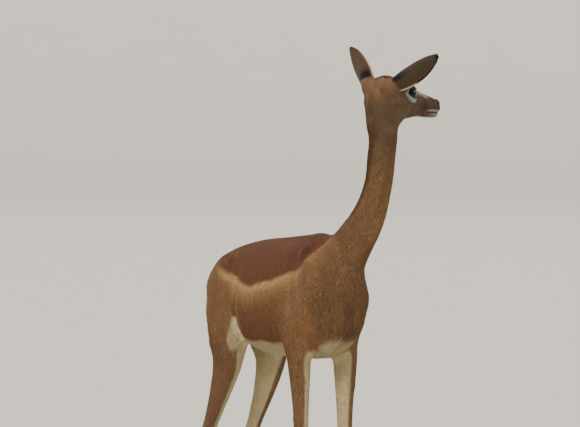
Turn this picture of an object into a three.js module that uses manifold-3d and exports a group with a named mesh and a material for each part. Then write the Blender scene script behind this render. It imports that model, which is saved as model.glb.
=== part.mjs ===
// A standing gerenuk cow, life size, head turned over its left shoulder. Millimetres, +Z up.
// The body frame has its origin on the floor under the withers, +X forward, +Y to the animal's left.
import * as THREE from "three";
import { mergeVertices } from "three/addons/utils/BufferGeometryUtils.js";
import Module from "manifold-3d";

const wasm = await Module();
wasm.setup();

// Driving dimensions
const withersHeight = 930;
const bellyHeight = 612;
const chestFront = 140;
const rumpRear = -574;
const barrelHalfWidth = 95;
const foreFoot = { x: -15, y: 60 };
const hindFoot = { x: -568, y: 62 };
const hockHeight = 345;
const kneeHeight = 385;
const fetlockHeight = 105;
const headTurn = THREE.MathUtils.degToRad(111.5);
const headStation = { x: 105, y: 100 };
const crownHeight = 1324;
const headFront = 206;
const eyeRadius = 17.5;
const eyeCentre = { f: 75, l: 32.5, z: 1277 };
const eyeOpening = { halfLength: 15.5, halfHeight: 12 };
const earLength = 156;
const earWidth = 53;
const earBow = -3; // how far the middle of an ear bows towards its outer edge
const earBase = { f: -3, l: 31, z: 1294 };
const earAxes = {
  left: new THREE.Vector3(0.35, 0.7, 0.62).normalize(),
  right: new THREE.Vector3(0.36, 0.77, 0.51).normalize(),
};
const hoofLength = 50;
const hoofWidth = 17;
const toeSpread = 9.6;
const gap = 0.3;
// The middle of the overall box, so that the finished part stands over its own origin.
const middle = { x: -197, y: 98 };

// Finishes: coat colours by part, black horn and wet dark eyes
const finishes = {
  torso: { color: 0x96603c, roughness: 0.85, metalness: 0 },
  tail: { color: 0x3a2a22, roughness: 0.9, metalness: 0 },
  neck: { color: 0x8a5c3c, roughness: 0.85, metalness: 0 },
  head: { color: 0x7d5a42, roughness: 0.85, metalness: 0 },
  ear: { color: 0x6b5546, roughness: 0.85, metalness: 0 },
  leg: { color: 0xa9764b, roughness: 0.85, metalness: 0 },
  hoof: { color: 0x211c1a, roughness: 0.45, metalness: 0 },
  eye: { color: 0x120c0a, roughness: 0.08, metalness: 0 },
};

// Small maths
const clamp = THREE.MathUtils.clamp;
const mix = THREE.MathUtils.lerp;

function blend(a, b, reach) {
  const h = Math.max(reach - Math.abs(a - b), 0) / reach;
  return Math.min(a, b) - h * h * reach * 0.25;
}

// Smooth curves through rows of numbers, the first number of each row being the place along the curve.
function curves(rows) {
  const count = rows.length;
  const slopes = rows.map((row, i) => {
    const before = rows[Math.max(i - 1, 0)];
    const after = rows[Math.min(i + 1, count - 1)];
    return row.map((_, k) => (after[k] - before[k]) / (after[0] - before[0]));
  });
  return (place) => {
    const t = clamp(place, rows[0][0], rows[count - 1][0]);
    let i = 0;
    while (i < count - 2 && t > rows[i + 1][0]) i += 1;
    const span = rows[i + 1][0] - rows[i][0];
    const u = (t - rows[i][0]) / span;
    const h1 = u * u * (3 - 2 * u);
    const h2 = u * (1 - u) * (1 - u) * span;
    const h3 = u * u * (u - 1) * span;
    return rows[i].map((v, k) => mix(v, rows[i + 1][k], h1) + h2 * slopes[i][k] + h3 * slopes[i + 1][k]);
  };
}

// Signed distances: an ellipsoid, a tapered rod flattened across y, and a limb of stacked oval sections.
function ellipsoid(x, y, z, centre, radii) {
  const px = (x - centre[0]) / radii[0];
  const py = (y - centre[1]) / radii[1];
  const pz = (z - centre[2]) / radii[2];
  const near = Math.hypot(px, py, pz);
  const steep = Math.hypot(px / radii[0], py / radii[1], pz / radii[2]);
  return (near * (near - 1)) / Math.max(steep, 1e-6);
}

function rod(x, y, z, from, to, startRadius, endRadius, flat = 1) {
  const d = [to[0] - from[0], to[1] - from[1], to[2] - from[2]];
  const p = [x - from[0], y - from[1], z - from[2]];
  const h = clamp((p[0] * d[0] + p[1] * d[1] + p[2] * d[2]) / (d[0] ** 2 + d[1] ** 2 + d[2] ** 2), 0, 1);
  const away = Math.hypot(p[0] - h * d[0], (p[1] - h * d[1]) / flat, p[2] - h * d[2]);
  return away - mix(startRadius, endRadius, h);
}

function oval(u, v, over, halfU, halfV, cap, power = 2) {
  const sum = Math.abs(u / halfU) ** power + Math.abs(v / halfV) ** power + Math.abs(over / cap) ** power;
  const q = Math.max(sum ** (1 / power), 1e-4);
  return Math.hypot(u, v, over) * (1 - 1 / q);
}

function limb(section, low, high, cap) {
  return (x, y, z) => {
    const [, cx, cy, halfX, halfY, yaw = 0] = section(z);
    const over = z - clamp(z, low, high);
    const c = Math.cos(yaw);
    const s = Math.sin(yaw);
    const dx = x - cx;
    const dy = y - cy;
    return oval(dx * c + dy * s, dy * c - dx * s, over, halfX, halfY, cap);
  };
}

// Trunk: rows of place along the body, top, bottom, half width and how much the top narrows.
const trunkRows = curves([
  [rumpRear, 826, 742, 38, 0.1],
  [-555, 852, 722, 52, 0.15],
  [-520, 870, 700, 68, 0.2],
  [-470, 884, 680, 78, 0.2],
  [-400, 896, 645, 86, 0.18],
  [-320, 906, bellyHeight + 3, barrelHalfWidth, 0.15],
  [-200, 915, bellyHeight, barrelHalfWidth + 2, 0.15],
  [-80, 925, bellyHeight + 1, barrelHalfWidth - 3, 0.22],
  [0, withersHeight, bellyHeight + 5, 86, 0.34],
  [50, 905, 630, 80, 0.32],
  [100, 862, 665, 66, 0.2],
  [chestFront - 14, 820, 705, 48, 0.1],
]);

function trunk(x, y, z) {
  const [, top, bottom, halfWidth, narrow] = trunkRows(x);
  const over = x - clamp(x, rumpRear + 10, chestFront - 14);
  const half = (top - bottom) / 2;
  const rise = z - (top + bottom) / 2;
  const width = halfWidth * (1 - narrow * clamp(rise / half, -0.3, 1));
  return oval(rise, y, over, half, width, 14, 2.15);
}

// Legs: rows of height, centre forward, centre to the side, half depth, half width.
const foreRows = curves([
  [36, foreFoot.x + 24, foreFoot.y, 15, 15],
  [60, foreFoot.x + 15, foreFoot.y, 15, 15.5],
  [85, foreFoot.x + 6, foreFoot.y, 17.5, 16.5],
  [fetlockHeight, foreFoot.x, foreFoot.y, 21, 17.5],
  [130, foreFoot.x, foreFoot.y, 16.5, 14.5],
  [180, foreFoot.x, foreFoot.y, 14, 12.3],
  [250, foreFoot.x + 1, foreFoot.y, 14.3, 12.3],
  [320, foreFoot.x + 2, foreFoot.y, 16.5, 14],
  [355, foreFoot.x + 4, foreFoot.y, 21, 19.5],
  [kneeHeight, foreFoot.x + 5, foreFoot.y, 22.5, 21.5],
  [420, foreFoot.x + 4, foreFoot.y, 21, 19],
  [470, foreFoot.x + 2, foreFoot.y + 1, 24, 20],
  [540, foreFoot.x, foreFoot.y + 2, 31, 24],
  [600, foreFoot.x - 3, foreFoot.y + 3, 39, 28],
  [650, foreFoot.x - 6, foreFoot.y + 3, 47, 31],
  [710, foreFoot.x - 2, foreFoot.y - 2, 52, 34],
]);

const hindRows = curves([
  [36, hindFoot.x + 26, hindFoot.y, 15, 15],
  [60, hindFoot.x + 17, hindFoot.y, 15, 15.5],
  [85, hindFoot.x + 8, hindFoot.y, 18, 16.5],
  [fetlockHeight, hindFoot.x + 1, hindFoot.y, 21.5, 17.5],
  [130, hindFoot.x, hindFoot.y, 17, 14.5],
  [180, hindFoot.x - 3, hindFoot.y, 15, 12.8],
  [250, hindFoot.x - 9, hindFoot.y, 15.5, 13],
  [300, hindFoot.x - 13, hindFoot.y, 20, 16.5],
  [hockHeight, hindFoot.x - 17, hindFoot.y, 29, 21],
  [375, hindFoot.x - 12, hindFoot.y, 28, 19],
  [410, hindFoot.x + 4, hindFoot.y, 26, 18],
  [450, hindFoot.x + 33, hindFoot.y, 31, 20],
  [500, hindFoot.x + 68, hindFoot.y, 41, 25],
  [560, hindFoot.x + 104, hindFoot.y - 1, 54, 31],
  [610, hindFoot.x + 118, hindFoot.y - 2, 68, 36],
  [660, hindFoot.x + 113, hindFoot.y - 4, 84, 40],
  [710, hindFoot.x + 106, hindFoot.y - 9, 96, 42],
]);

const foreLimb = limb(foreRows, 36, 700, 34);
const hindLimb = limb(hindRows, 36, 700, 70);

function digits(x, y, z, foot, lead) {
  const side = Math.abs(y - foot.y);
  const from = [foot.x + lead - 13, 4.5, 72];
  const to = [foot.x + lead + 6, toeSpread, 22];
  return rod(x, side, z, from, to, 13.5, 14.5, 0.66);
}

// Neck: rows of height, centre forward, centre to the side, half depth, half width, turn of the section.
const neckRows = curves([
  [740, 52, 0, 72, 52, 0],
  [800, 58, 4, 80, 56, 0],
  [855, 68, 15, 79, 50, 0.15],
  [895, 82, 29, 73, 45, 0.3],
  [925, 95, 41, 66, 42, 0.45],
  [977, 110, 66, 48.5, 38, 0.7],
  [1017, 118, 79, 40, 34.5, 0.9],
  [1067, 123, 90, 36, 32, 1.1],
  [1127, 123, 97, 36.5, 31.5, 1.3],
  [1167, 117, 104, 37.5, 32, 1.5],
  [1212, 102, 108, 45, 33, 1.85],
  [1250, 105, 100, 38, 31, 1.95],
]);
const neckLimb = limb(neckRows, 760, 1250, 30);

function body(x, y, z) {
  const side = Math.abs(y);
  let d = trunk(x, y, z);
  d = blend(d, ellipsoid(x, y, z, [88, 0, 700], [52, 42, 48]), 40);
  d = blend(d, rod(x, side, z, [8, 42, 880], [58, 50, 778], 26, 33, 0.85), 30);
  d = blend(d, rod(x, side, z, [62, 53, 764], [-32, 62, 676], 32, 33, 0.85), 26);
  d = blend(d, ellipsoid(x, side, z, [-62, 66, 672], [22, 18, 26]), 22);
  d = blend(d, foreLimb(x, side, z), 30);
  d = blend(d, ellipsoid(x, side, z, [-478, 44, 762], [98, 36, 92]), 34);
  d = blend(d, rod(x, side, z, [-432, 52, 762], [-402, 60, 660], 48, 36, 0.66), 30);
  d = blend(d, rod(x, side, z, [-532, 46, 768], [-500, 55, 640], 38, 34, 0.8), 28);
  d = blend(d, hindLimb(x, side, z), 34);
  d = blend(d, rod(x, side, z, [-505, hindFoot.y, 560], [-597, hindFoot.y, 388], 13, 9, 0.8), 16);
  d = blend(d, ellipsoid(x, side, z, [-598, hindFoot.y, 380], [14, 11, 17]), 14);
  d = blend(d, digits(x, side, z, foreFoot, 26), 7);
  d = blend(d, digits(x, side, z, hindFoot, 28), 7);
  return blend(d, neckLimb(x, y, z), 46);
}

// Head frame: f forward from the ears, l to the head's left, z up as in the body frame.
const headCos = Math.cos(headTurn);
const headSin = Math.sin(headTurn);

function fromHead(f, l) {
  return [headStation.x + f * headCos - l * headSin, headStation.y + f * headSin + l * headCos];
}

// Skull: rows of place forward, top, bottom, half width and how much the lower part narrows.
const skullRows = curves([
  [-34, 1298, 1238, 14, 0.1],
  [-20, 1312, 1224, 27, 0.15],
  [0, 1321, 1212, 38, 0.25],
  [25, crownHeight, 1206, 41, 0.3],
  [50, 1319, 1208, 41, 0.35],
  [78, 1306, 1212, 40, 0.4],
  [100, 1296, 1215, 34, 0.38],
  [120, 1289, 1218, 28, 0.3],
  [145, 1281, 1220, 23.5, 0.2],
  [170, 1274, 1220, 21.5, 0.16],
  [188, 1269, 1218, 21, 0.2],
  [headFront - 8, 1263, 1219, 18.5, 0.25],
]);

function skull(f, l, z) {
  const [, top, bottom, halfWidth, narrow] = skullRows(f);
  const over = f - clamp(f, -34, headFront - 8);
  const half = (top - bottom) / 2;
  const rise = z - (top + bottom) / 2;
  const width = halfWidth * (1 + narrow * clamp(rise / half, -1, 0.2));
  return oval(rise, l, over, half, width, over > 0 ? 9 : 11, 2.25);
}

function head(f, l, z) {
  const side = Math.abs(l);
  const [x, y] = fromHead(f, l);
  let d = skull(f, l, z);
  d = blend(d, ellipsoid(f, side, z, [34, 27, 1238], [38, 11, 30]), 14);
  d = blend(d, rod(f, side, z, [108, 30, 1262], [20, 38, 1262], 7, 9), 12);
  d = blend(d, rod(f, side, z, [98, 30, 1292], [52, 36, 1300], 8, 10), 14);
  d = blend(d, ellipsoid(f, side, z, [eyeCentre.f, eyeCentre.l, eyeCentre.z], [22.5, 19.6, 20.5]), 10);
  d = blend(d, ellipsoid(f, side, z, [earBase.f, earBase.l, earBase.z], [22, 17, 23]), 16);
  d = blend(d, rod(f, side, z, [152, 12, 1243], [201, 9.5, 1240.5], 11, 10), 8);
  d = blend(d, rod(f, side, z, [150, 7, 1227], [198, 6, 1224.5], 9, 7.5), 6);
  d = blend(d, ellipsoid(f, side, z, [200, 8.5, 1254], [8, 8.5, 10]), 7);
  return blend(d, neckLimb(x, y, z), 26);
}

// Grid lines from low to high, a step apart, where the step may change along the way.
function lines(low, high, step) {
  const row = [low];
  while (row[row.length - 1] < high) {
    const last = row[row.length - 1];
    row.push(last + (typeof step === "number" ? step : step(last)));
  }
  return row;
}

// A closed surface wrapped round a field on a grid, one point per crossed cell, settled onto the field.
function wrap(field, grid) {
  const size = grid.map((row) => row.length);
  const at = (i, k) => grid[k][i];
  const index = (i, j, k) => i + size[0] * (j + size[1] * k);
  const values = new Float64Array(size[0] * size[1] * size[2]);
  for (let k = 0; k < size[2]; k += 1) {
    for (let j = 0; j < size[1]; j += 1) {
      for (let i = 0; i < size[0]; i += 1) {
        const edge = [i, j, k].some((v, n) => v === 0 || v === size[n] - 1);
        const value = field(at(i, 0), at(j, 1), at(k, 2));
        values[index(i, j, k)] = edge ? Math.max(value, 0.5) : value;
      }
    }
  }
  const points = [];
  const cells = new Map();
  const corners = [0, 1, 2, 3, 4, 5, 6, 7].map((n) => [n & 1, (n >> 1) & 1, (n >> 2) & 1]);
  const edges = [];
  for (let a = 0; a < 8; a += 1) {
    for (const bit of [1, 2, 4]) {
      if (!(a & bit)) edges.push([a, a | bit]);
    }
  }
  const settle = (p, span) => {
    const step = 0.4;
    for (let round = 0; round < 3; round += 1) {
      const value = field(...p);
      const slope = p.map((_, n) => {
        const ahead = p.slice();
        const back = p.slice();
        ahead[n] += step;
        back[n] -= step;
        return (field(...ahead) - field(...back)) / (2 * step);
      });
      const square = slope.reduce((sum, v) => sum + v * v, 0);
      if (square < 1e-6) return;
      for (let n = 0; n < 3; n += 1) {
        p[n] += clamp((-value * slope[n]) / square, -0.3 * span[n], 0.3 * span[n]);
      }
    }
  };
  for (let k = 0; k < size[2] - 1; k += 1) {
    for (let j = 0; j < size[1] - 1; j += 1) {
      for (let i = 0; i < size[0] - 1; i += 1) {
        const v = corners.map(([a, b, c]) => values[index(i + a, j + b, k + c)]);
        const sum = [0, 0, 0];
        let crossings = 0;
        for (const [a, b] of edges) {
          if (v[a] < 0 === v[b] < 0) continue;
          const t = v[a] / (v[a] - v[b]);
          for (let n = 0; n < 3; n += 1) sum[n] += mix(corners[a][n], corners[b][n], t);
          crossings += 1;
        }
        if (!crossings) continue;
        const span = [i, j, k].map((c, n) => at(c + 1, n) - at(c, n));
        const p = [i, j, k].map((c, n) => at(c, n) + (sum[n] / crossings) * span[n]);
        const rim = [i, j, k].some((c, n) => c < 1 || c > size[n] - 3);
        if (!rim) settle(p, span);
        cells.set(index(i, j, k), points.length / 3);
        points.push(...p);
      }
    }
  }
  const faces = [];
  for (let k = 0; k < size[2]; k += 1) {
    for (let j = 0; j < size[1]; j += 1) {
      for (let i = 0; i < size[0]; i += 1) {
        for (let n = 0; n < 3; n += 1) {
          const ahead = [i, j, k];
          ahead[n] += 1;
          if (ahead[n] >= size[n]) continue;
          const here = values[index(i, j, k)] < 0;
          if (here === values[index(...ahead)] < 0) continue;
          const u = (n + 1) % 3;
          const w = (n + 2) % 3;
          const quad = [
            [0, 0],
            [1, 0],
            [1, 1],
            [0, 1],
          ].map(([a, b]) => {
            const c = [i, j, k];
            c[u] -= a;
            c[w] -= b;
            return cells.get(index(...c));
          });
          if (!here) quad.reverse();
          faces.push(quad[0], quad[1], quad[2], quad[0], quad[2], quad[3]);
        }
      }
    }
  }
  return surface(points, faces);
}

function surface(points, faces) {
  const g = new THREE.BufferGeometry();
  g.setAttribute("position", new THREE.Float32BufferAttribute(points, 3));
  g.setIndex(faces);
  return g;
}

// Rings of points joined into a tube and closed at both ends.
function tube(rings) {
  const n = rings[0].length;
  const points = rings.flat(2);
  const faces = [];
  for (let r = 0; r < rings.length - 1; r += 1) {
    for (let i = 0; i < n; i += 1) {
      const a = r * n + i;
      const b = r * n + ((i + 1) % n);
      faces.push(a, b, b + n, a, b + n, a + n);
    }
  }
  for (const [r, turn] of [
    [0, true],
    [rings.length - 1, false],
  ]) {
    const middlePoint = [0, 1, 2].map((k) => rings[r].reduce((sum, p) => sum + p[k], 0) / n);
    const centre = points.length / 3;
    points.push(...middlePoint);
    for (let i = 0; i < n; i += 1) {
      const a = r * n + i;
      const b = r * n + ((i + 1) % n);
      faces.push(centre, turn ? b : a, turn ? a : b);
    }
  }
  return surface(points, faces);
}

// Solids: cutting, joining and naming
function solid(geometry) {
  const g = geometry.clone();
  g.deleteAttribute("normal");
  g.deleteAttribute("uv");
  const merged = mergeVertices(g, 1e-4);
  const order = new Uint32Array(merged.index.array);
  const vertProperties = new Float32Array(merged.attributes.position.array);
  const build = () => new wasm.Manifold(new wasm.Mesh({ numProp: 3, vertProperties, triVerts: order }));
  const made = build();
  if (made.volume() > 0) return made;
  for (let i = 0; i < order.length; i += 3) [order[i + 1], order[i + 2]] = [order[i + 2], order[i + 1]];
  return build();
}

function block(low, high, matrix) {
  const g = new THREE.BoxGeometry(high[0] - low[0], high[1] - low[1], high[2] - low[2]);
  g.translate((high[0] + low[0]) / 2, (high[1] + low[1]) / 2, (high[2] + low[2]) / 2);
  if (matrix) g.applyMatrix4(matrix);
  return solid(g);
}

// A block lying on the far side of a plane through a point, its local z along the plane's normal.
function beyond(point, normal, reach, start) {
  const turn = new THREE.Quaternion().setFromUnitVectors(new THREE.Vector3(0, 0, 1), normal.clone().normalize());
  const place = new THREE.Matrix4().compose(point, turn, new THREE.Vector3(1, 1, 1));
  return block([-reach, -reach, start], [reach, reach, start + 2 * reach], place);
}

function largest(shape) {
  const pieces = shape.decompose();
  return pieces.reduce((best, piece) => (piece.volume() > best.volume() ? piece : best));
}

const gerenuk = new THREE.Group();
gerenuk.name = "gerenuk";

function add(name, shape, finish) {
  const whole = largest(shape).getMesh();
  const g = surface([], []);
  const count = whole.vertProperties.length / whole.numProp;
  const points = new Float32Array(count * 3);
  for (let i = 0; i < count; i += 1) {
    points[3 * i] = whole.vertProperties[i * whole.numProp] - middle.x;
    points[3 * i + 1] = whole.vertProperties[i * whole.numProp + 1] - middle.y;
    points[3 * i + 2] = whole.vertProperties[i * whole.numProp + 2];
  }
  g.setAttribute("position", new THREE.Float32BufferAttribute(points, 3));
  g.setIndex(Array.from(whole.triVerts));
  g.computeVertexNormals();
  const mesh = new THREE.Mesh(g, new THREE.MeshStandardMaterial(finish));
  mesh.name = name;
  gerenuk.add(mesh);
}

function mirrored(geometry, axis) {
  const g = geometry.clone();
  g.scale(...[0, 1, 2].map((k) => (k === axis ? -1 : 1)));
  return g;
}

// Parting planes
const neckRoot = { point: new THREE.Vector3(96, 34, 908), normal: new THREE.Vector3(0.58, 0.27, 0.77) };
const headRoot = { point: new THREE.Vector3(-5, 0, 1222), normal: new THREE.Vector3(0.5, 0, 0.866) };
const headPlace = new THREE.Matrix4().makeRotationZ(headTurn).setPosition(headStation.x, headStation.y, 0);
const headRootPoint = headRoot.point.clone().applyMatrix4(headPlace);
const headRootNormal = headRoot.normal.clone().transformDirection(headPlace);
const legTop = bellyHeight - 12;

// Trunk with its shoulders and thighs
let torso = solid(wrap(body, [lines(-660, 210, 29), lines(-156, 156, 22.3), lines(560, 1010, 26)]));
torso = torso.subtract(beyond(neckRoot.point, neckRoot.normal, 400, -gap));
torso = torso.subtract(block([-700, -200, 400], [300, 200, legTop + gap]));

// Tail with a tuft of tapering locks
const tailPath = curves([
  [0, -545, 0, 850, 17],
  [0.12, -580, 0, 842, 15],
  [0.3, -603, 0, 805, 11],
  [0.55, -611, 0, 740, 8.5],
  [0.8, -610, 0, 672, 8],
  [1, -606, 0, 640, 6],
]);
const tailRings = [];
for (let i = 0; i <= 10; i += 1) {
  const t = i / 10;
  const [, x, y, z, r] = tailPath(t);
  const [, ax, , az] = tailPath(Math.min(t + 0.02, 1));
  const [, bx, , bz] = tailPath(Math.max(t - 0.02, 0));
  const along = new THREE.Vector3(ax - bx, 0, az - bz).normalize();
  const out = new THREE.Vector3(along.z, 0, -along.x);
  const ring = [];
  for (let n = 0; n < 10; n += 1) {
    const a = (2 * Math.PI * n) / 10;
    ring.push([x + out.x * r * 0.75 * Math.cos(a), y + r * Math.sin(a), z + out.z * r * 0.75 * Math.cos(a)]);
  }
  tailRings.push(ring);
}
let tail = solid(tube(tailRings));

function lock(root, tip, bow, radius) {
  const rings = [];
  for (let i = 0; i <= 5; i += 1) {
    const t = i / 5;
    const swell = radius * (0.55 + 0.9 * Math.sin(Math.PI * Math.min(t + 0.12, 1)) ** 0.8) * (1 - 0.55 * t);
    const r = i === 5 ? 1.2 : swell;
    const bend = 4 * t * (1 - t);
    const centre = root.map((v, k) => mix(v, tip[k], t) + bow[k] * bend);
    const ring = [];
    for (let n = 0; n < 6; n += 1) {
      const a = (2 * Math.PI * n) / 6;
      ring.push([centre[0] + r * Math.cos(a), centre[1] + r * Math.sin(a), centre[2]]);
    }
    rings.push(ring);
  }
  return solid(tube(rings));
}

for (let n = 0; n < 7; n += 1) {
  const a = (2 * Math.PI * n) / 6;
  const spread = n === 6 ? 0 : 1;
  const root = [-609 + 4 * spread * Math.cos(a), 4 * spread * Math.sin(a), 690 - 5 * (n % 3)];
  const tip = [-606 + 9 * spread * Math.cos(a), 9 * spread * Math.sin(a), 590 - 9 * (n % 3)];
  const bow = [5 * spread * Math.cos(a), 5 * spread * Math.sin(a), 0];
  tail = tail.add(lock(root, tip, bow, 5.2));
}
const tailCut = rumpRear - 6;
torso = torso.add(tail).subtract(block([-700, -22, 500], [tailCut + gap, 22, 862]));
add("torso", torso, finishes.torso);
add("tail", tail.intersect(block([-700, -40, 480], [tailCut, 40, 900])), finishes.tail);

// Neck
let neck = solid(wrap(body, [lines(-20, 220, 13.6), lines(-90, 200, 13.6), lines(780, 1290, 20)]));
neck = neck.intersect(beyond(neckRoot.point, neckRoot.normal, 600, 0));
neck = neck.subtract(beyond(headRootPoint, headRootNormal, 300, -gap));
add("neck", neck, finishes.neck);

// Legs and hooves
function hoof(x, y, splay) {
  const rings = [];
  const levels = [
    [0, 1, 1.0, 0],
    [7, 0.98, 0.99, 0],
    [18, 0.84, 0.92, 0],
    [34, 0.62, 0.8, 0],
  ];
  for (const [z, long, wide] of levels) {
    const ring = [];
    for (let n = 0; n < 12; n += 1) {
      const a = (2 * Math.PI * n) / 12;
      const ahead = Math.cos(a);
      const reach = ahead > 0 ? 0.58 * long : 0.42 * (0.75 + 0.25 * long);
      const taper = 1 - 0.42 * Math.max(ahead, 0) ** 1.6;
      const px = hoofLength * reach * ahead - z * 0.12;
      const py = hoofWidth * 0.5 * wide * Math.sin(a) * taper;
      const c = Math.cos(splay);
      const s = Math.sin(splay);
      ring.push([x + px * c - py * s, y + px * s + py * c, z]);
    }
    rings.push(ring);
  }
  return solid(tube(rings));
}

const legKinds = [
  { kind: "fore", foot: foreFoot, lead: 26, behind: 78, ahead: 72 },
  { kind: "hind", foot: hindFoot, lead: 28, behind: 66, ahead: 226 },
];

// Grid steps up a leg: short at the foot and the joints, long down the shank.
function legStep(z) {
  if (z < 130) return 14.5;
  if (z < 290) return 38;
  return z < 410 ? 20 : 29;
}

for (const { kind, foot, lead, behind, ahead } of legKinds) {
  const shape = wrap(
    (x, y, z) => Math.max(body(x, y, z), 2 - y, z - legTop - 24),
    [
      lines(foot.x - behind, foot.x + ahead, (x) => (x < foot.x + 45 ? 10.6 : 20)),
      lines(-8, 132, 9.8),
      lines(-6, legTop + 40, legStep),
    ],
  );
  for (const [side, sideName] of [
    [1, "left"],
    [-1, "right"],
  ]) {
    const coronet = new THREE.Vector3(foot.x + lead, 0, 25);
    const slope = new THREE.Vector3(0.32, 0, 1);
    let leg = solid(side > 0 ? shape : mirrored(shape, 1));
    leg = leg.subtract(block([-900, -300, legTop], [400, 300, legTop + 300]));
    leg = leg.intersect(beyond(coronet, slope, 1000, gap / 2));
    add(kind + "leg_" + sideName, leg, finishes.leg);
    for (const [toe, toeName] of [
      [1, "outer"],
      [-1, "inner"],
    ]) {
      const y = side * (foot.y + toe * toeSpread);
      let claw = hoof(foot.x + lead + 6, y, side * toe * 0.07);
      claw = claw.subtract(beyond(coronet, slope, 400, -gap / 2));
      add(["hoof", kind, sideName, toeName].join("_"), claw, finishes.hoof);
    }
  }
}

// Head with eye sockets, lids, nostrils, mouth and ears
function toBody(shape) {
  return shape.transform(headPlace.elements);
}

let skullSolid = solid(
  wrap(head, [
    lines(-74, 232, (f) => (f < 40 ? 11.5 : 8)),
    lines(-69.7, 69.7, 8.2),
    lines(1150, 1346, 8.3),
  ]),
);
const gaze = new THREE.Vector3(0.3, 0.94, 0.1).normalize();
const gazeUp = new THREE.Vector3(-0.06, -0.09, 1).normalize();
gazeUp.addScaledVector(gaze, -gazeUp.dot(gaze)).normalize();
const gazeAhead = new THREE.Vector3().crossVectors(gaze, gazeUp).normalize();
const eyeMiddle = new THREE.Vector3(eyeCentre.f, eyeCentre.l, eyeCentre.z);

// A point of the lid opening at an angle round it, lying at a distance out from the middle of the eye.
function lidPoint(angle, grow, radius) {
  const c = Math.cos(angle);
  const s = Math.sin(angle);
  const pinch = 1 - 0.28 * Math.abs(c) ** 3;
  const tall = s > 0 ? 1.06 : 0.94;
  const ahead = (eyeOpening.halfLength + grow) * c;
  const rise = (eyeOpening.halfHeight + grow) * s * tall * pinch - 1.5 * c;
  const depth = Math.sqrt(Math.max(radius ** 2 - ahead ** 2 - rise ** 2, 4));
  return eyeMiddle
    .clone()
    .addScaledVector(gazeAhead, ahead)
    .addScaledVector(gazeUp, rise)
    .addScaledVector(gaze, depth);
}

function lidRing() {
  const rings = [];
  const steps = 24;
  for (let i = 0; i <= steps; i += 1) {
    const a = (2 * Math.PI * i) / steps;
    const upper = Math.sin(a) > 0;
    const thick = 2.3 + (upper ? 1.1 * Math.sin(a) : 0.4 * Math.sin(-a));
    const centre = lidPoint(a, thick * 0.72, eyeRadius + 1.2);
    const outward = centre.clone().sub(eyeMiddle).normalize();
    const ahead = lidPoint(a + 0.05, thick * 0.72, eyeRadius + 1.2).sub(centre).normalize();
    const across = new THREE.Vector3().crossVectors(outward, ahead).normalize();
    const ring = [];
    for (let n = 0; n < 7; n += 1) {
      const b = (2 * Math.PI * n) / 7;
      const p = centre
        .clone()
        .addScaledVector(outward, thick * Math.cos(b))
        .addScaledVector(across, thick * 1.15 * Math.sin(b));
      ring.push(p.toArray());
    }
    rings.push(ring);
  }
  const n = rings[0].length;
  const faces = [];
  for (let r = 0; r < steps; r += 1) {
    for (let i = 0; i < n; i += 1) {
      const a = r * n + i;
      const b = r * n + ((i + 1) % n);
      const c = ((r + 1) % steps) * n + ((i + 1) % n);
      const d = ((r + 1) % steps) * n + i;
      faces.push(a, b, c, a, c, d);
    }
  }
  return surface(rings.slice(0, steps).flat(2), faces);
}

function lidOpening() {
  const rings = [eyeRadius - 6, eyeRadius + 14].map((radius) => {
    const ring = [];
    for (let i = 0; i < 24; i += 1) {
      const p = lidPoint((2 * Math.PI * i) / 24, 0, eyeRadius);
      const flat = p.clone().sub(eyeMiddle);
      flat.addScaledVector(gaze, radius - flat.dot(gaze));
      ring.push(flat.add(eyeMiddle).toArray());
    }
    return ring;
  });
  return tube(rings);
}

function ball(radius, wide, tall) {
  const g = new THREE.SphereGeometry(radius, wide, tall);
  g.translate(eyeMiddle.x, eyeMiddle.y, eyeMiddle.z);
  return g;
}

for (const axisSide of [1, -1]) {
  const turn = (g) => (axisSide > 0 ? g : mirrored(g, 1));
  skullSolid = skullSolid.subtract(solid(turn(lidOpening())));
  skullSolid = skullSolid.add(solid(turn(lidRing())));
  skullSolid = skullSolid.subtract(solid(turn(ball(eyeRadius + gap, 20, 13))));
}

// Mouth: a shallow groove that runs round the muzzle between the lips.
function mouthGroove() {
  const rings = [];
  const steps = 22;
  for (let i = 0; i <= steps; i += 1) {
    const t = i / steps;
    const a = mix(-0.5, 0.5, t) * Math.PI;
    const f = mix(158, headFront + 6, Math.cos(a) ** 0.55);
    const l = 25 * Math.sign(Math.sin(a)) * Math.abs(Math.sin(a)) ** 0.75;
    const z = 1231.5 - 1.5 * Math.cos(a);
    const inwardF = Math.cos(a);
    const inwardL = Math.sin(a);
    const depth = 11.5;
    ring3(rings, f, l, z, inwardF, inwardL, depth);
  }
  return tube(rings);
}

function ring3(rings, f, l, z, ahead, aside, depth) {
  const inner = [f - ahead * depth, l - aside * depth];
  rings.push([
    [f, l, z + 1.6],
    [inner[0], inner[1], z],
    [f, l, z - 1.6],
  ]);
}
skullSolid = skullSolid.subtract(solid(mouthGroove()));

// Nostrils: comma-shaped pockets on the front of the muzzle.
function nostril() {
  const rings = [];
  for (let i = 0; i <= 5; i += 1) {
    const t = i / 5;
    const depth = mix(8, -9, t);
    const scale = 1.15 - 0.55 * t;
    const ring = [];
    for (let n = 0; n < 14; n += 1) {
      const a = (2 * Math.PI * n) / 14;
      const along = 5.6 * scale * Math.cos(a);
      const across = (2.5 + 0.9 * Math.cos(a)) * scale * Math.sin(a);
      const curl = 0.09 * along * along;
      const rise = 0.62 * along - 0.78 * (across + curl);
      const wide = 0.78 * along + 0.62 * (across + curl);
      ring.push([202 + depth - 0.25 * wide, 10.2 + wide + 0.35 * depth, 1252.5 + rise + 0.1 * depth]);
    }
    rings.push(ring);
  }
  return tube(rings);
}
for (const side of [1, -1]) {
  skullSolid = skullSolid.subtract(solid(side > 0 ? nostril() : mirrored(nostril(), 1)));
}

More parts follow.
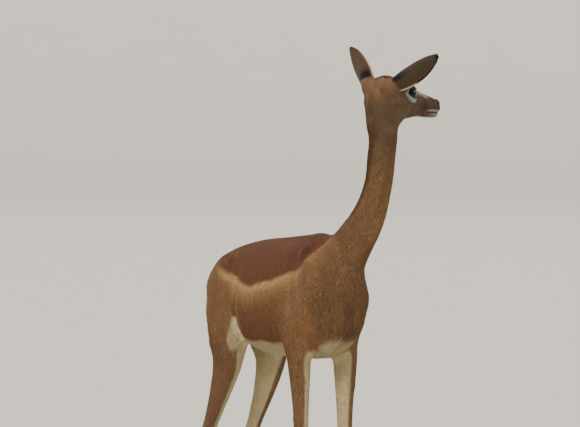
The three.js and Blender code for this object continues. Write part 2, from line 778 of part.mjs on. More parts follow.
// Ears: leaf-shaped cups with their backs to the rear, opening forward.
function earFrame(name) {
  const axis = earAxes[name];
  const front = new THREE.Vector3(0.935, -0.281, -0.216);
  front.addScaledVector(axis, -front.dot(axis)).normalize();
  const across = new THREE.Vector3().crossVectors(front, axis).normalize();
  const place = new THREE.Matrix4().makeBasis(across, front, axis);
  return { axis, front, across, place: place.setPosition(earBase.f, earBase.l, earBase.z) };
}

const earRows = curves([
  [0, 0.56, 26, 5.5],
  [0.12, 0.75, 26, 5],
  [0.28, 0.96, 21, 4.4],
  [0.45, 1.02, 16, 4],
  [0.62, 0.96, 12, 3.6],
  [0.78, 0.76, 9, 3.4],
  [0.9, 0.48, 6, 3.2],
  [0.97, 0.25, 3.5, 3],
  [1, 0.1, 2, 2.6],
]);

function ear({ axis, front, across }) {
  const rings = [];
  const steps = 14;
  for (let i = 0; i <= steps; i += 1) {
    const t = (i / steps) ** 0.92;
    const [, width, cup, thick] = earRows(t);
    const lean = earBow * Math.sin(Math.PI * t);
    const centre = new THREE.Vector3(earBase.f, earBase.l, earBase.z)
      .addScaledVector(axis, earLength * t)
      .addScaledVector(front, 4 * Math.sin(Math.PI * t) - 6 * t * t)
      .addScaledVector(across, lean);
    const half = (earWidth * width) / 2;
    const ring = [];
    const count = 8;
    for (let side = 0; side < 2; side += 1) {
      for (let n = 0; n <= count; n += 1) {
        const a = side ? 1 - (2 * n) / count : -1 + (2 * n) / count;
        const bulge = 1 - Math.abs(a) ** 2.3;
        const skinDepth = mix(1.5, thick, bulge) * 0.5;
        const back = cup * (bulge - 0.35) + (side ? -skinDepth : skinDepth);
        const p = centre.clone().addScaledVector(across, half * a).addScaledVector(front, -back);
        ring.push(p.toArray());
      }
    }
    rings.push(ring);
  }
  return tube(rings);
}

function earCanal(frame) {
  const g = new THREE.SphereGeometry(1, 14, 10);
  g.scale(11, 13, 17);
  g.translate(0, 6, 24);
  return g.applyMatrix4(frame.place);
}

function earBlock(frame, start) {
  const g = new THREE.BoxGeometry(90, 90, 300);
  g.translate(0, 0, start + 150);
  return g.applyMatrix4(frame.place);
}

const earCut = 25;
for (const [side, sideName] of [
  [1, "left"],
  [-1, "right"],
]) {
  const turn = (g) => (side > 0 ? g : mirrored(g, 1));
  const frame = earFrame(sideName);
  skullSolid = skullSolid.add(solid(turn(ear(frame))));
  skullSolid = skullSolid.subtract(solid(turn(earCanal(frame))));
  const outerEar = skullSolid.intersect(solid(turn(earBlock(frame, earCut))));
  add("ear_" + sideName, toBody(largest(outerEar)), finishes.ear);
  skullSolid = skullSolid.subtract(solid(turn(earBlock(frame, earCut - gap))));
  add("eye_" + sideName, toBody(solid(turn(ball(eyeRadius, 16, 10)))), finishes.eye);
}
add("head", toBody(skullSolid.intersect(beyond(headRoot.point, headRoot.normal, 400, 0))), finishes.head);

export default gerenuk;
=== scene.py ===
import math
import bpy
import bmesh
import numpy as np
from mathutils import Matrix, Vector


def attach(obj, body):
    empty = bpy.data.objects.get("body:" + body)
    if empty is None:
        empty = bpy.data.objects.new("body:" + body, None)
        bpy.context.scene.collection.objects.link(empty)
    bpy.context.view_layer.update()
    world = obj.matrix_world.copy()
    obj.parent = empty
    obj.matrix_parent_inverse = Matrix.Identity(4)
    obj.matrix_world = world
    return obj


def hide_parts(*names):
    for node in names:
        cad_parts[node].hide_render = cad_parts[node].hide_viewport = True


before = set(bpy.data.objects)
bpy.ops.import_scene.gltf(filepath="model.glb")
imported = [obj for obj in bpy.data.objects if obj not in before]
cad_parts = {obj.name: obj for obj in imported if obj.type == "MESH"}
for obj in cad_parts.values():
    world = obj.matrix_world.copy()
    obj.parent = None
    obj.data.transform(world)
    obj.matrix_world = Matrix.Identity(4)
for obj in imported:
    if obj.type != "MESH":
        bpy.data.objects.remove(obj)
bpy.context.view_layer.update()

# The body frame is in mm, with its origin on the floor under the withers, +x forward and +y to the left.
# bodyMiddle is where the middle of the whole part lies in it.
bodyMiddle = np.array([-197.0, 98.0, 0.0])
fleshNodes = ["torso", "neck", "head", "ear_left", "ear_right", "tail",
              "foreleg_left", "foreleg_right", "hindleg_left", "hindleg_right"]


def toBodyMm(metres):
    return np.asarray(metres, float) * 1000 + bodyMiddle


def toMetres(bodyMm):
    return (np.asarray(bodyMm, float) - bodyMiddle) / 1000


# Small maths on arrays
def smoothStep(low, high, value):
    t = np.clip((value - low) / (high - low), 0, 1)
    return t * t * (3 - 2 * t)


def blend(a, b, reach):
    h = np.maximum(reach - np.abs(a - b), 0) / reach
    return np.minimum(a, b) - h * h * reach * 0.25


def makeCurve(rows):
    # a smooth curve through rows of numbers, read by the first number of each row
    table = np.array(rows, float)
    places = table[:, 0]
    before = np.vstack([table[:1], table[:-1]])
    after = np.vstack([table[1:], table[-1:]])
    slopes = (after - before) / (after[:, :1] - before[:, :1])

    def read(place):
        t = np.clip(place, places[0], places[-1])
        i = np.clip(np.searchsorted(places, t, side="right") - 1, 0, len(places) - 2)
        span = (places[i + 1] - places[i])[:, None]
        u = (t - places[i])[:, None] / span
        rise = u * u * (3 - 2 * u)
        out = table[i] * (1 - rise) + table[i + 1] * rise
        out += u * (1 - u) ** 2 * span * slopes[i] + u * u * (u - 1) * span * slopes[i + 1]
        return out.T
    return read


def ellipsoid(p, centre, radii):
    q = (p - np.array(centre, float)) / np.array(radii, float)
    near = np.linalg.norm(q, axis=1)
    steep = np.linalg.norm(q / np.array(radii, float), axis=1)
    return near * (near - 1) / np.maximum(steep, 1e-6)


def rod(p, start, end, startRadius, endRadius, flat=1.0):
    a = np.array(start, float)
    d = np.array(end, float) - a
    q = p - a
    h = np.clip(q @ d / (d @ d), 0, 1)
    away = q - h[:, None] * d
    away[:, 1] /= flat
    return np.linalg.norm(away, axis=1) - (startRadius + (endRadius - startRadius) * h)


def oval(u, v, over, halfU, halfV, cap, power=2.0):
    total = np.abs(u / halfU) ** power + np.abs(v / halfV) ** power + np.abs(over / cap) ** power
    q = np.maximum(total ** (1 / power), 1e-4)
    return np.sqrt(u * u + v * v + over * over) * (1 - 1 / q)


# The animal's forms, the same named sizes as its solids
form = {
    "withersHeight": 930, "bellyHeight": 612, "chestFront": 140, "rumpRear": -574, "barrelHalfWidth": 95,
    "foreX": -15, "hindX": -568, "foreY": 60, "hindY": 62, "hock": 345, "knee": 385, "fetlock": 105,
    "headTurn": math.radians(111.5), "headX": 105, "headY": 100, "crown": 1324, "headFront": 206,
    "eyeRadius": 17.5, "eyeAt": (75, 32.5, 1277), "eyeHalfLength": 15.5, "eyeHalfHeight": 12,
    "earLength": 156, "earWidth": 53, "earBow": -3, "earBase": (-3, 31, 1294),
    "earAxisLeft": (0.35, 0.7, 0.62), "earAxisRight": (0.36, 0.77, 0.51),
    "toeSpread": 9.6, "hoofLength": 50, "hoofWidth": 17, "hoofTop": 25,
}
# heights above which a point may be on an ear or on the jaw
earsFrom, jawFrom = 1262, 1195
belly = form["bellyHeight"]
foreX, foreY, hindX, hindY = form["foreX"], form["foreY"], form["hindX"], form["hindY"]

# place along the body, top, bottom, half width, narrowing of the top
trunkCurve = makeCurve([
    [form["rumpRear"], 826, 742, 38, 0.1],
    [-555, 852, 722, 52, 0.15],
    [-520, 870, 700, 68, 0.2],
    [-470, 884, 680, 78, 0.2],
    [-400, 896, 645, 86, 0.18],
    [-320, 906, belly + 3, form["barrelHalfWidth"], 0.15],
    [-200, 915, belly, form["barrelHalfWidth"] + 2, 0.15],
    [-80, 925, belly + 1, form["barrelHalfWidth"] - 3, 0.22],
    [0, form["withersHeight"], belly + 5, 86, 0.34],
    [50, 905, 630, 80, 0.32],
    [100, 862, 665, 66, 0.2],
    [form["chestFront"] - 14, 820, 705, 48, 0.1],
])
# height, centre forward, centre to the side, half depth, half width, turn
foreCurve = makeCurve([
    [36, foreX + 24, foreY, 15, 15, 0],
    [60, foreX + 15, foreY, 15, 15.5, 0],
    [85, foreX + 6, foreY, 17.5, 16.5, 0],
    [form["fetlock"], foreX, foreY, 21, 17.5, 0],
    [130, foreX, foreY, 16.5, 14.5, 0],
    [180, foreX, foreY, 14, 12.3, 0],
    [250, foreX + 1, foreY, 14.3, 12.3, 0],
    [320, foreX + 2, foreY, 16.5, 14, 0],
    [355, foreX + 4, foreY, 21, 19.5, 0],
    [form["knee"], foreX + 5, foreY, 22.5, 21.5, 0],
    [420, foreX + 4, foreY, 21, 19, 0],
    [470, foreX + 2, foreY + 1, 24, 20, 0],
    [540, foreX, foreY + 2, 31, 24, 0],
    [600, foreX - 3, foreY + 3, 39, 28, 0],
    [650, foreX - 6, foreY + 3, 47, 31, 0],
    [710, foreX - 2, foreY - 2, 52, 34, 0],
])
hindCurve = makeCurve([
    [36, hindX + 26, hindY, 15, 15, 0],
    [60, hindX + 17, hindY, 15, 15.5, 0],
    [85, hindX + 8, hindY, 18, 16.5, 0],
    [form["fetlock"], hindX + 1, hindY, 21.5, 17.5, 0],
    [130, hindX, hindY, 17, 14.5, 0],
    [180, hindX - 3, hindY, 15, 12.8, 0],
    [250, hindX - 9, hindY, 15.5, 13, 0],
    [300, hindX - 13, hindY, 20, 16.5, 0],
    [form["hock"], hindX - 17, hindY, 29, 21, 0],
    [375, hindX - 12, hindY, 28, 19, 0],
    [410, hindX + 4, hindY, 26, 18, 0],
    [450, hindX + 33, hindY, 31, 20, 0],
    [500, hindX + 68, hindY, 41, 25, 0],
    [560, hindX + 104, hindY - 1, 54, 31, 0],
    [610, hindX + 118, hindY - 2, 68, 36, 0],
    [660, hindX + 113, hindY - 4, 84, 40, 0],
    [710, hindX + 106, hindY - 9, 96, 42, 0],
])
neckCurve = makeCurve([
    [740, 52, 0, 72, 52, 0],
    [800, 58, 4, 80, 56, 0],
    [855, 68, 15, 79, 50, 0.15],
    [895, 82, 29, 73, 45, 0.3],
    [925, 95, 41, 66, 42, 0.45],
    [977, 110, 66, 48.5, 38, 0.7],
    [1017, 118, 79, 40, 34.5, 0.9],
    [1067, 123, 90, 36, 32, 1.1],
    [1127, 123, 97, 36.5, 31.5, 1.3],
    [1167, 117, 104, 37.5, 32, 1.5],
    [1212, 102, 108, 45, 33, 1.85],
    [1250, 105, 100, 38, 31, 1.95],
])
# place forward of the ears, top, bottom, half width, narrowing of the lower part
skullCurve = makeCurve([
    [-34, 1298, 1238, 14, 0.1],
    [-20, 1312, 1224, 27, 0.15],
    [0, 1321, 1212, 38, 0.25],
    [25, form["crown"], 1206, 41, 0.3],
    [50, 1319, 1208, 41, 0.35],
    [78, 1306, 1212, 40, 0.4],
    [100, 1296, 1215, 34, 0.38],
    [120, 1289, 1218, 28, 0.3],
    [145, 1281, 1220, 23.5, 0.2],
    [170, 1274, 1220, 21.5, 0.16],
    [188, 1269, 1218, 21, 0.2],
    [form["headFront"] - 8, 1263, 1219, 18.5, 0.25],
])
tailCurve = makeCurve([
    [0, -545, 0, 850, 17],
    [0.12, -580, 0, 842, 15],
    [0.3, -603, 0, 805, 11],
    [0.55, -611, 0, 740, 8.5],
    [0.8, -610, 0, 672, 8],
    [1, -606, 0, 640, 6],
])


def trunkField(p):
    x, y, z = p.T
    _, top, bottom, halfWidth, narrow = trunkCurve(x)
    over = x - np.clip(x, form["rumpRear"] + 10, form["chestFront"] - 14)
    half = (top - bottom) / 2
    rise = z - (top + bottom) / 2
    width = halfWidth * (1 - narrow * np.clip(rise / half, -0.3, 1))
    return oval(rise, y, over, half, width, 14, 2.15)


def limbField(p, curve, low, high, cap):
    x, y, z = p.T
    _, cx, cy, halfX, halfY, turn = curve(z)
    over = z - np.clip(z, low, high)
    c, s = np.cos(turn), np.sin(turn)
    dx, dy = x - cx, y - cy
    return oval(dx * c + dy * s, dy * c - dx * s, over, halfX, halfY, cap)


def digitField(p, footX, footY, lead):
    q = p.copy()
    q[:, 1] = np.abs(q[:, 1] - footY)
    return rod(q, (footX + lead - 13, 4.5, 72), (footX + lead + 6, form["toeSpread"], 22), 13.5, 14.5, 0.66)


def bodyField(p):
    side = p.copy()
    side[:, 1] = np.abs(side[:, 1])
    d = trunkField(p)
    d = blend(d, ellipsoid(p, (88, 0, 700), (52, 42, 48)), 40)
    d = blend(d, rod(side, (8, 42, 880), (58, 50, 778), 26, 33, 0.85), 30)
    d = blend(d, rod(side, (62, 53, 764), (-32, 62, 676), 32, 33, 0.85), 26)
    d = blend(d, ellipsoid(side, (-62, 66, 672), (22, 18, 26)), 22)
    d = blend(d, limbField(side, foreCurve, 36, 700, 34), 30)
    d = blend(d, ellipsoid(side, (-478, 44, 762), (98, 36, 92)), 34)
    d = blend(d, rod(side, (-432, 52, 762), (-402, 60, 660), 48, 36, 0.66), 30)
    d = blend(d, rod(side, (-532, 46, 768), (-500, 55, 640), 38, 34, 0.8), 28)
    d = blend(d, limbField(side, hindCurve, 36, 700, 70), 34)
    d = blend(d, rod(side, (-505, hindY, 560), (-597, hindY, 388), 13, 9, 0.8), 16)
    d = blend(d, ellipsoid(side, (-598, hindY, 380), (14, 11, 17)), 14)
    d = blend(d, digitField(side, foreX, foreY, 26), 7)
    d = blend(d, digitField(side, hindX, hindY, 28), 7)
    return blend(d, limbField(p, neckCurve, 760, 1250, 30), 46)


# Head frame: f forward from the ears, l to the head's left, z up
headCos, headSin = math.cos(form["headTurn"]), math.sin(form["headTurn"])


def toHead(p):
    dx, dy = p[:, 0] - form["headX"], p[:, 1] - form["headY"]
    return np.stack([dx * headCos + dy * headSin, dy * headCos - dx * headSin, p[:, 2]], 1)


def fromHead(h):
    h = np.atleast_2d(np.asarray(h, float))
    x = form["headX"] + h[:, 0] * headCos - h[:, 1] * headSin
    y = form["headY"] + h[:, 0] * headSin + h[:, 1] * headCos
    return np.stack([x, y, h[:, 2]], 1)


def headTurned(vector):
    f, l, z = vector
    return np.array([f * headCos - l * headSin, f * headSin + l * headCos, z])


def unit(v):
    v = np.asarray(v, float)
    return v / np.linalg.norm(v)


def earFrame(side):
    # origin, across, front and axis of an ear, in the head frame
    name = "earAxisLeft" if side > 0 else "earAxisRight"
    axis = unit(form[name])
    front = np.array([0.935, -0.281, -0.216])
    front = unit(front - axis * (front @ axis))
    across = unit(np.cross(front, axis))
    flip = np.array([1, side, 1])
    return np.array(form["earBase"]) * flip, across * flip, front * flip, axis * flip


# place up the ear, width, cup, thickness
earCurve = makeCurve([
    [0, 0.56, 26, 5.5],
    [0.12, 0.75, 26, 5],
    [0.28, 0.96, 21, 4.4],
    [0.45, 1.02, 16, 4],
    [0.62, 0.96, 12, 3.6],
    [0.78, 0.76, 9, 3.4],
    [0.9, 0.48, 6, 3.2],
    [0.97, 0.25, 3.5, 3],
    [1, 0.1, 2, 2.6],
])


def earPlace(h, side):
    # place up an ear, place across it, and distance in front of its middle surface
    origin, across, front, axis = earFrame(side)
    q = h - origin
    up = q @ axis / form["earLength"]
    _, width, cup, thick = earCurve(up)
    t = np.clip(up, 0, 1)
    half = form["earWidth"] * width / 2
    a = (q @ across - form["earBow"] * np.sin(np.pi * t)) / half
    bulge = 1 - np.abs(np.clip(a, -1.3, 1.3)) ** 2.3
    middle = 4 * np.sin(np.pi * t) - 6 * t * t - cup * (bulge - 0.35)
    return up, a, q @ front - middle, half, thick, bulge


def skullField(h):
    f, l, z = h.T
    _, top, bottom, halfWidth, narrow = skullCurve(f)
    over = f - np.clip(f, -34, form["headFront"] - 8)
    half = (top - bottom) / 2
    rise = z - (top + bottom) / 2
    width = halfWidth * (1 + narrow * np.clip(rise / half, -1, 0.2))
    return oval(rise, l, over, half, width, np.where(over > 0, 9, 11), 2.25)


def headField(p):
    h = toHead(p)
    side = h.copy()
    side[:, 1] = np.abs(side[:, 1])
    d = skullField(h)
    d = blend(d, ellipsoid(side, (34, 27, 1238), (38, 11, 30)), 14)
    d = blend(d, rod(side, (108, 30, 1262), (20, 38, 1262), 7, 9), 12)
    d = blend(d, rod(side, (88, 31.5, 1289), (52, 35.5, 1298), 8, 10), 16)
    d = blend(d, ellipsoid(side, form["eyeAt"], (22.5, 19.6, 20.5)), 10)
    d = blend(d, ellipsoid(side, form["earBase"], (22, 17, 23)), 16)
    d = blend(d, rod(side, (152, 12, 1243), (201, 9.5, 1240.5), 11, 10), 8)
    d = blend(d, rod(side, (150, 7, 1227), (198, 6, 1224.5), 9, 7.5), 6)
    return blend(d, ellipsoid(side, (200, 8.5, 1254), (8, 8.5, 10)), 7)


def fleshField(p):
    d = np.full(len(p), 1e3)
    low = p[:, 2] < 1290
    d[low] = bodyField(p[low])
    high = p[:, 2] > 1150
    d[high] = blend(d[high], headField(p[high]), 26)
    return d


def slopeOf(field, p, step=0.5):
    out = np.empty_like(p)
    for k in range(3):
        ahead, back = p.copy(), p.copy()
        ahead[:, k] += step
        back[:, k] -= step
        out[:, k] = (field(ahead) - field(back)) / (2 * step)
    return out


def settle(field, p, target, weight, rounds=3, most=3.0):
    # moves points onto the field's target level, each by its own weight
    for _ in range(rounds):
        value = field(p) - target
        slope = slopeOf(field, p)
        square = np.maximum((slope ** 2).sum(1), 0.05)
        move = -(value / square)[:, None] * slope
        length = np.linalg.norm(move, axis=1, keepdims=True)
        move *= np.minimum(1, most / np.maximum(length, 1e-9))
        p = p + move * weight[:, None]
    return p


print("forms ready")


# The skin's own field: flesh with thin ears, a tail core and open pasterns
def earField(h, side):
    up, a, away, half, thick, bulge = earPlace(h, side)
    lean = earCurve(up)[2] * 2.3 * np.abs(np.clip(a, -1.2, 1.2)) ** 1.3 / half
    skinThick = 2.1 + (0.85 * thick - 2.1) * np.clip(bulge, 0, 1)
    d = np.abs(away) / np.sqrt(1 + lean * lean) - skinThick / 2
    rim = np.maximum((np.abs(a) - 1) * half, (up - 1) * form["earLength"])
    rim = np.maximum(rim, -up * form["earLength"] - 12)
    return -blend(-d, -rim, 2.0)


def earCanal(h, side):
    origin, across, front, axis = earFrame(side)
    q = h - origin
    local = np.stack([q @ across, q @ front - 6, q @ axis - 24], 1)
    return ellipsoid(local, (0, 0, 0), (11, 13, 17))


def tailField(p):
    marks = np.linspace(0, 1, 13)
    _, x, y, z, r = tailCurve(marks)
    r = np.where(marks > 0.5, np.minimum(r, 5.5), r) * 0.86
    d = np.full(len(p), 1e3)
    for i in range(len(marks) - 1):
        d = np.minimum(d, rod(p, (x[i], y[i], z[i]), (x[i + 1], y[i + 1], z[i + 1]), r[i], r[i + 1]))
    return d


def skinField(p):
    d = fleshField(p)
    high = p[:, 2] > earsFrom
    h = toHead(p[high])
    for side in (1, -1):
        d[high] = blend(d[high], earField(h, side), 7)
    for side in (1, -1):
        d[high] = -blend(-d[high], earCanal(h, side), 4)
    rear = (p[:, 0] < -525) & (p[:, 2] < 875)
    d[rear] = blend(d[rear], tailField(p[rear]), 9)
    low = p[:, 2] < 90
    lead = np.where(p[low, 0] > -300, foreX + 26, hindX + 28)
    coronet = ((lead - p[low, 0]) * 0.32 + form["hoofTop"] - p[low, 2]) / 1.05
    d[low] = -blend(-d[low], -coronet, 5)
    return d


# Muscles, bones and hollows that show through the coat: start, end, radius and height in mm.
bodyRelief = [
    ((30, 68, 872), (62, 66, 764), 15, 3.0),
    ((-48, 86, 850), (-24, 82, 742), 20, -3.5),
    ((-46, 84, 726), (-8, 78, 690), 26, 4.0),
    ((-84, 78, 700), (-60, 62, 652), 13, -3.5),
    ((-10, 92, 800), (8, 88, 740), 22, 2.0),
    ((-352, 90, 826), (-350, 92, 700), 12, -3.8),
    ((-384, 90, 800), (-378, 92, 690), 22, 4.0),
    ((-322, 92, 806), (-318, 92, 740), 16, 2.0),
    ((-356, 86, 700), (-358, 74, 650), 11, -4.0),
    ((-432, 60, 872), (-426, 66, 860), 17, 6.0),
    ((-560, 40, 828), (-562, 44, 812), 16, 4.0),
    ((-538, 78, 770), (-506, 80, 650), 13, -3.5),
    ((-470, 84, 800), (-440, 92, 700), 34, 3.5),
    ((-398, 90, 664), (-396, 88, 648), 20, 4.5),
    ((-382, 76, 676), (-345, 58, 636), 13, 3.5),
    ((-516, 80, 500), (-566, 74, 420), 12, -4.0),
    ((-520, 44, 500), (-566, 50, 420), 12, -3.5),
    ((-8, 86, 624), (-2, 82, 548), 17, 2.5),
    ((12, 84, 600), (10, 78, 470), 7, -1.8),
    ((-30, 82, 600), (-24, 76, 480), 7, -1.5),
    ((-20, 72, 335), (-18, 71, 150), 5, -1.8),
    ((-20, 48, 335), (-18, 49, 150), 5, -1.8),
    ((-584, 74, 300), (-572, 73, 150), 5.5, -2.0),
    ((-584, 50, 300), (-572, 51, 150), 5.5, -2.0),
    ((-8, 78, 392), (-4, 78, 378), 9, 1.5),
    ((6, 60, 400), (8, 60, 372), 8, 1.2),
    ((-580, 82, 352), (-578, 82, 336), 9, 2.0),
    ((-560, 78, 372), (-548, 76, 388), 9, -1.8),
    ((-40, 58, 112), (-38, 62, 100), 8, 2.0),
    ((-592, 58, 112), (-590, 62, 100), 8, 2.0),
]
for i in range(8):
    bodyRelief.append(((-112 - 29 * i, 96, 800 - 2 * i), (-138 - 30 * i, 90, 680), 9.5, 0.7))
# grooves beside the windpipe and under the nape, as lines down the neck: angle round it, radius and height
neckLines = [(0.75, 9, -2.2), (-0.75, 9, -2.2), (0, 11, 1.8), (2.2, 10, -1.6), (-2.2, 10, -1.6)]
headRelief = [
    ((54, 38, 1298), (84, 34, 1294), 7, 1.6),
    ((40, 40, 1292), (46, 40, 1284), 10, -2.0),
    ((108, 29, 1262), (62, 38, 1252), 6, 1.6),
    ((60, 40, 1250), (20, 41, 1256), 7, 1.6),
    ((38, 37, 1232), (44, 36, 1240), 16, 2.2),
    ((104, 17, 1221), (24, 29, 1213), 6, 1.6),
    ((112, 26, 1243), (140, 21, 1243), 9, -2.0),
    ((112, 20, 1283), (168, 17, 1266), 5.5, -1.6),
    ((98, 33, 1274), (106, 30, 1269), 5, -1.2),
    ((164, 20, 1239), (198, 13, 1239), 5, 1.4),
    ((180, 7, 1221), (192, 6, 1222), 7, 1.4),
    ((203, 15, 1255), (200, 16, 1249), 4, 1.6),
    ((188, 19, 1254), (193, 18, 1246), 3, -1.5),
    ((120, 0, 1290), (160, 0, 1278), 8, 1.0),
    ((18, 0, 1325), (52, 0, 1322), 10, 1.6),
    ((40, 18, 1322), (80, 16, 1308), 8, -1.4),
]


def relief(p, strokes):
    total = np.zeros(len(p))
    for start, end, radius, height in strokes:
        a = np.array(start, float)
        d = np.array(end, float) - a
        near = np.abs(p - (a + d / 2)).max(1) < np.abs(d).max() / 2 + radius * 3
        if not near.any():
            continue
        q = p[near] - a
        h = np.clip(q @ d / max(d @ d, 1e-9), 0, 1)
        away = np.linalg.norm(q - h[:, None] * d, axis=1)
        total[near] += height * np.exp(-(away / radius) ** 2)
    return total


def neckReliefAt(p):
    total = np.zeros(len(p))
    near = (p[:, 2] > 850) & (p[:, 2] < 1225)
    q = p[near]
    fade = smoothStep(860, 960, q[:, 2]) * smoothStep(1215, 1165, q[:, 2])
    _, cx, cy, halfX, halfY, turn = neckCurve(q[:, 2])
    c, s = np.cos(turn), np.sin(turn)
    for angle, radius, height in neckLines:
        dx, dy = halfX * math.cos(angle), halfY * math.sin(angle)
        away = np.hypot(q[:, 0] - cx - dx * c + dy * s, q[:, 1] - cy - dx * s - dy * c)
        total[near] += height * fade * np.exp(-(away / radius) ** 2)
    return total


def reliefAt(p):
    side = p.copy()
    side[:, 1] = np.abs(side[:, 1])
    total = relief(side, bodyRelief) + neckReliefAt(p)
    h = toHead(p)
    h[:, 1] = np.abs(h[:, 1])
    return total + relief(h, headRelief) * (p[:, 2] > jawFrom)


def isEar(p):
    # how much a point belongs to an ear, from 0 to 1, how far up it, in front of it, to its edge
    # and across it
    h = toHead(p)
    best, up, front, across = np.zeros((4, len(p)))
    for side in (1, -1):
        t, a, away, _, _, _ = earPlace(h, side)
        part = smoothStep(0.1, 0.2, t) * (np.abs(a) < 1.25) * (np.abs(away) < 9)
        use = part > best
        best, up = np.where(use, part, best), np.where(use, t, up)
        front, across = np.where(use, away, front), np.where(use, a, across)
    return best, up, front, np.abs(across), across


skinSettings = {
    "coatDepth": 2.4,      # how far the skin lies inside the solids, in mm, on the trunk
    "legDepth": 1.5,
    "headDepth": 0.9,
    "earDepth": 0.2,
    "bodyVoxel": 5.5,
    "headVoxel": 2.0,
    "seamHeight": 1150,
}


def coatDepthAt(p):
    onTrunk = smoothStep(430, 640, p[:, 2])
    depth = skinSettings["legDepth"] + (skinSettings["coatDepth"] - skinSettings["legDepth"]) * onTrunk
    depth += (skinSettings["headDepth"] - depth) * smoothStep(1130, 1230, p[:, 2])
    ear = isEar(p)[0] * (p[:, 2] > earsFrom)
    return depth + (skinSettings["earDepth"] - depth) * ear


def link(obj):
    bpy.context.scene.collection.objects.link(obj)
    return obj


def points(mesh):
    co = np.empty(len(mesh.vertices) * 3, np.float32)
    mesh.vertices.foreach_get("co", co)
    return co.reshape(-1, 3).astype(float)


def setPoints(mesh, co):
    mesh.vertices.foreach_set("co", np.asarray(co, np.float32).ravel())
    mesh.update()


def smoothShaded(mesh):
    mesh.polygons.foreach_set("use_smooth", np.ones(len(mesh.polygons), bool))


def toMesh(bm, name):
    mesh = bpy.data.meshes.new(name)
    bm.to_mesh(mesh)
    bm.free()
    return mesh


def toSmoothMesh(bm, name, finish):
    mesh = toMesh(bm, name)
    smoothShaded(mesh)
    mesh.materials.append(finish)
    return mesh


def remeshed(name, bm, voxel):
    obj = link(bpy.data.objects.new(name, toMesh(bm, name)))
    modifier = obj.modifiers.new("Remesh", "REMESH")
    modifier.mode = "VOXEL"
    modifier.voxel_size = voxel / 1000
    ready = obj.evaluated_get(bpy.context.evaluated_depsgraph_get())
    made = bpy.data.meshes.new_from_object(ready)
    bpy.data.objects.remove(obj)
    return made


def gathered(nodes, push):
    # copies of the solids in one bmesh, pushed out a little so that neighbours overlap
    bm = bmesh.new()
    for node in nodes:
        bm.from_mesh(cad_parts[node].data)
    bmesh.ops.remove_doubles(bm, verts=bm.verts, dist=2e-5)
    bm.normal_update()
    for v in bm.verts:
        v.co += v.normal * push / 1000
    return bm


def addBall(bm, centre, radii, turn=None):
    place = Matrix.Translation(Vector(centre)) @ (turn or Matrix.Identity(4)) @ Matrix.Diagonal((*radii, 1))
    bmesh.ops.create_icosphere(bm, subdivisions=3, radius=1, matrix=place)


def headTurnMatrix():
    return Matrix.Rotation(form["headTurn"], 4, "Z")


def buildSkin():
    limbs = ["torso", "neck", "foreleg_left", "foreleg_right", "hindleg_left", "hindleg_right"]
    bodyBm = gathered(limbs, 0.5)
    for t in np.linspace(0.02, 1, 40):
        _, x, y, z, r = [v[0] for v in tailCurve(np.array([t]))]
        addBall(bodyBm, toMetres((x, y, z)), [max(min(r, 6.5 if t > 0.5 else r), 4.5) / 1000] * 3)
    bodyMesh = remeshed("body", bodyBm, skinSettings["bodyVoxel"])
    headBm = gathered(["neck", "head", "ear_left", "ear_right", "eye_left", "eye_right"], 0.6)
    muzzle = toMetres(fromHead((171, 0, 1241))[0])
    addBall(headBm, muzzle, (0.035, 0.0195, 0.0215), headTurnMatrix())
    for side in (1, -1):
        addBall(headBm, toMetres(fromHead((195.5, side * 9, 1251))[0]), (0.0085, 0.0085, 0.0085))
    headMesh = remeshed("head", headBm, skinSettings["headVoxel"])
    print("remeshed", len(bodyMesh.polygons), len(headMesh.polygons))
    # both are cut at one level of the neck and bridged, so the skin is one closed surface
    seam = skinSettings["seamHeight"] / 1000
    for mesh, keepBelow in ((bodyMesh, True), (headMesh, False)):
        bm = bmesh.new()
        bm.from_mesh(mesh)
        bmesh.ops.bisect_plane(bm, geom=[*bm.verts, *bm.edges, *bm.faces], plane_co=(0, 0, seam),
                               plane_no=(0, 0, 1), clear_outer=keepBelow, clear_inner=not keepBelow)
        bm.to_mesh(mesh)
        bm.free()
    bm = bmesh.new()
    bm.from_mesh(bodyMesh)
    bm.from_mesh(headMesh)
    bmesh.ops.bridge_loops(bm, edges=[e for e in bm.edges if e.is_boundary])
    bmesh.ops.triangulate(bm, faces=[f for f in bm.faces if len(f.verts) > 4])
    mesh = toMesh(bm, "skin")
    for old in (bodyMesh, headMesh):
        bpy.data.meshes.remove(old)
    return mesh


def moveSkin(mesh, rounds, keep=None):
    p = toBodyMm(points(mesh))
    level = reliefAt(p) - coatDepthAt(p)
    weight = np.ones(len(p)) if keep is None else keep
    p = settle(skinField, p, level, weight, rounds)
    setPoints(mesh, toMetres(p))
    return p


def smoothed(mesh, factor, times):
    bm = bmesh.new()
    bm.from_mesh(mesh)
    for _ in range(times):
        bmesh.ops.smooth_vert(bm, verts=bm.verts, factor=factor,
                              use_axis_x=True, use_axis_y=True, use_axis_z=True)
    bm.to_mesh(mesh)
    bm.free()


skinMesh = buildSkin()
moveSkin(skinMesh, 3)
smoothed(skinMesh, 0.5, 2)
moveSkin(skinMesh, 2)
print("skin settled", len(skinMesh.polygons))


# Eyes: where the lids open, in each eye's own axes
def eyeAxes(side):
    flip = np.array([1, side, 1])
    gaze = unit((0.3, 0.94, 0.1))
    up = np.array([-0.06, -0.09, 1.0])
    up = unit(up - gaze * (up @ gaze))
    ahead = unit(np.cross(gaze, up))
    return np.array(form["eyeAt"]) * flip, ahead * flip, up * flip, gaze * flip


def lidShape(angle):
    # the lid opening's place ahead and up at an angle round the eye
    c, s = np.cos(angle), np.sin(angle)
    pinch = 1 - 0.28 * np.abs(c) ** 3
    tall = np.where(s > 0, 1.06, 0.94)
    return form["eyeHalfLength"] * c, form["eyeHalfHeight"] * s * tall * pinch - 1.5 * c


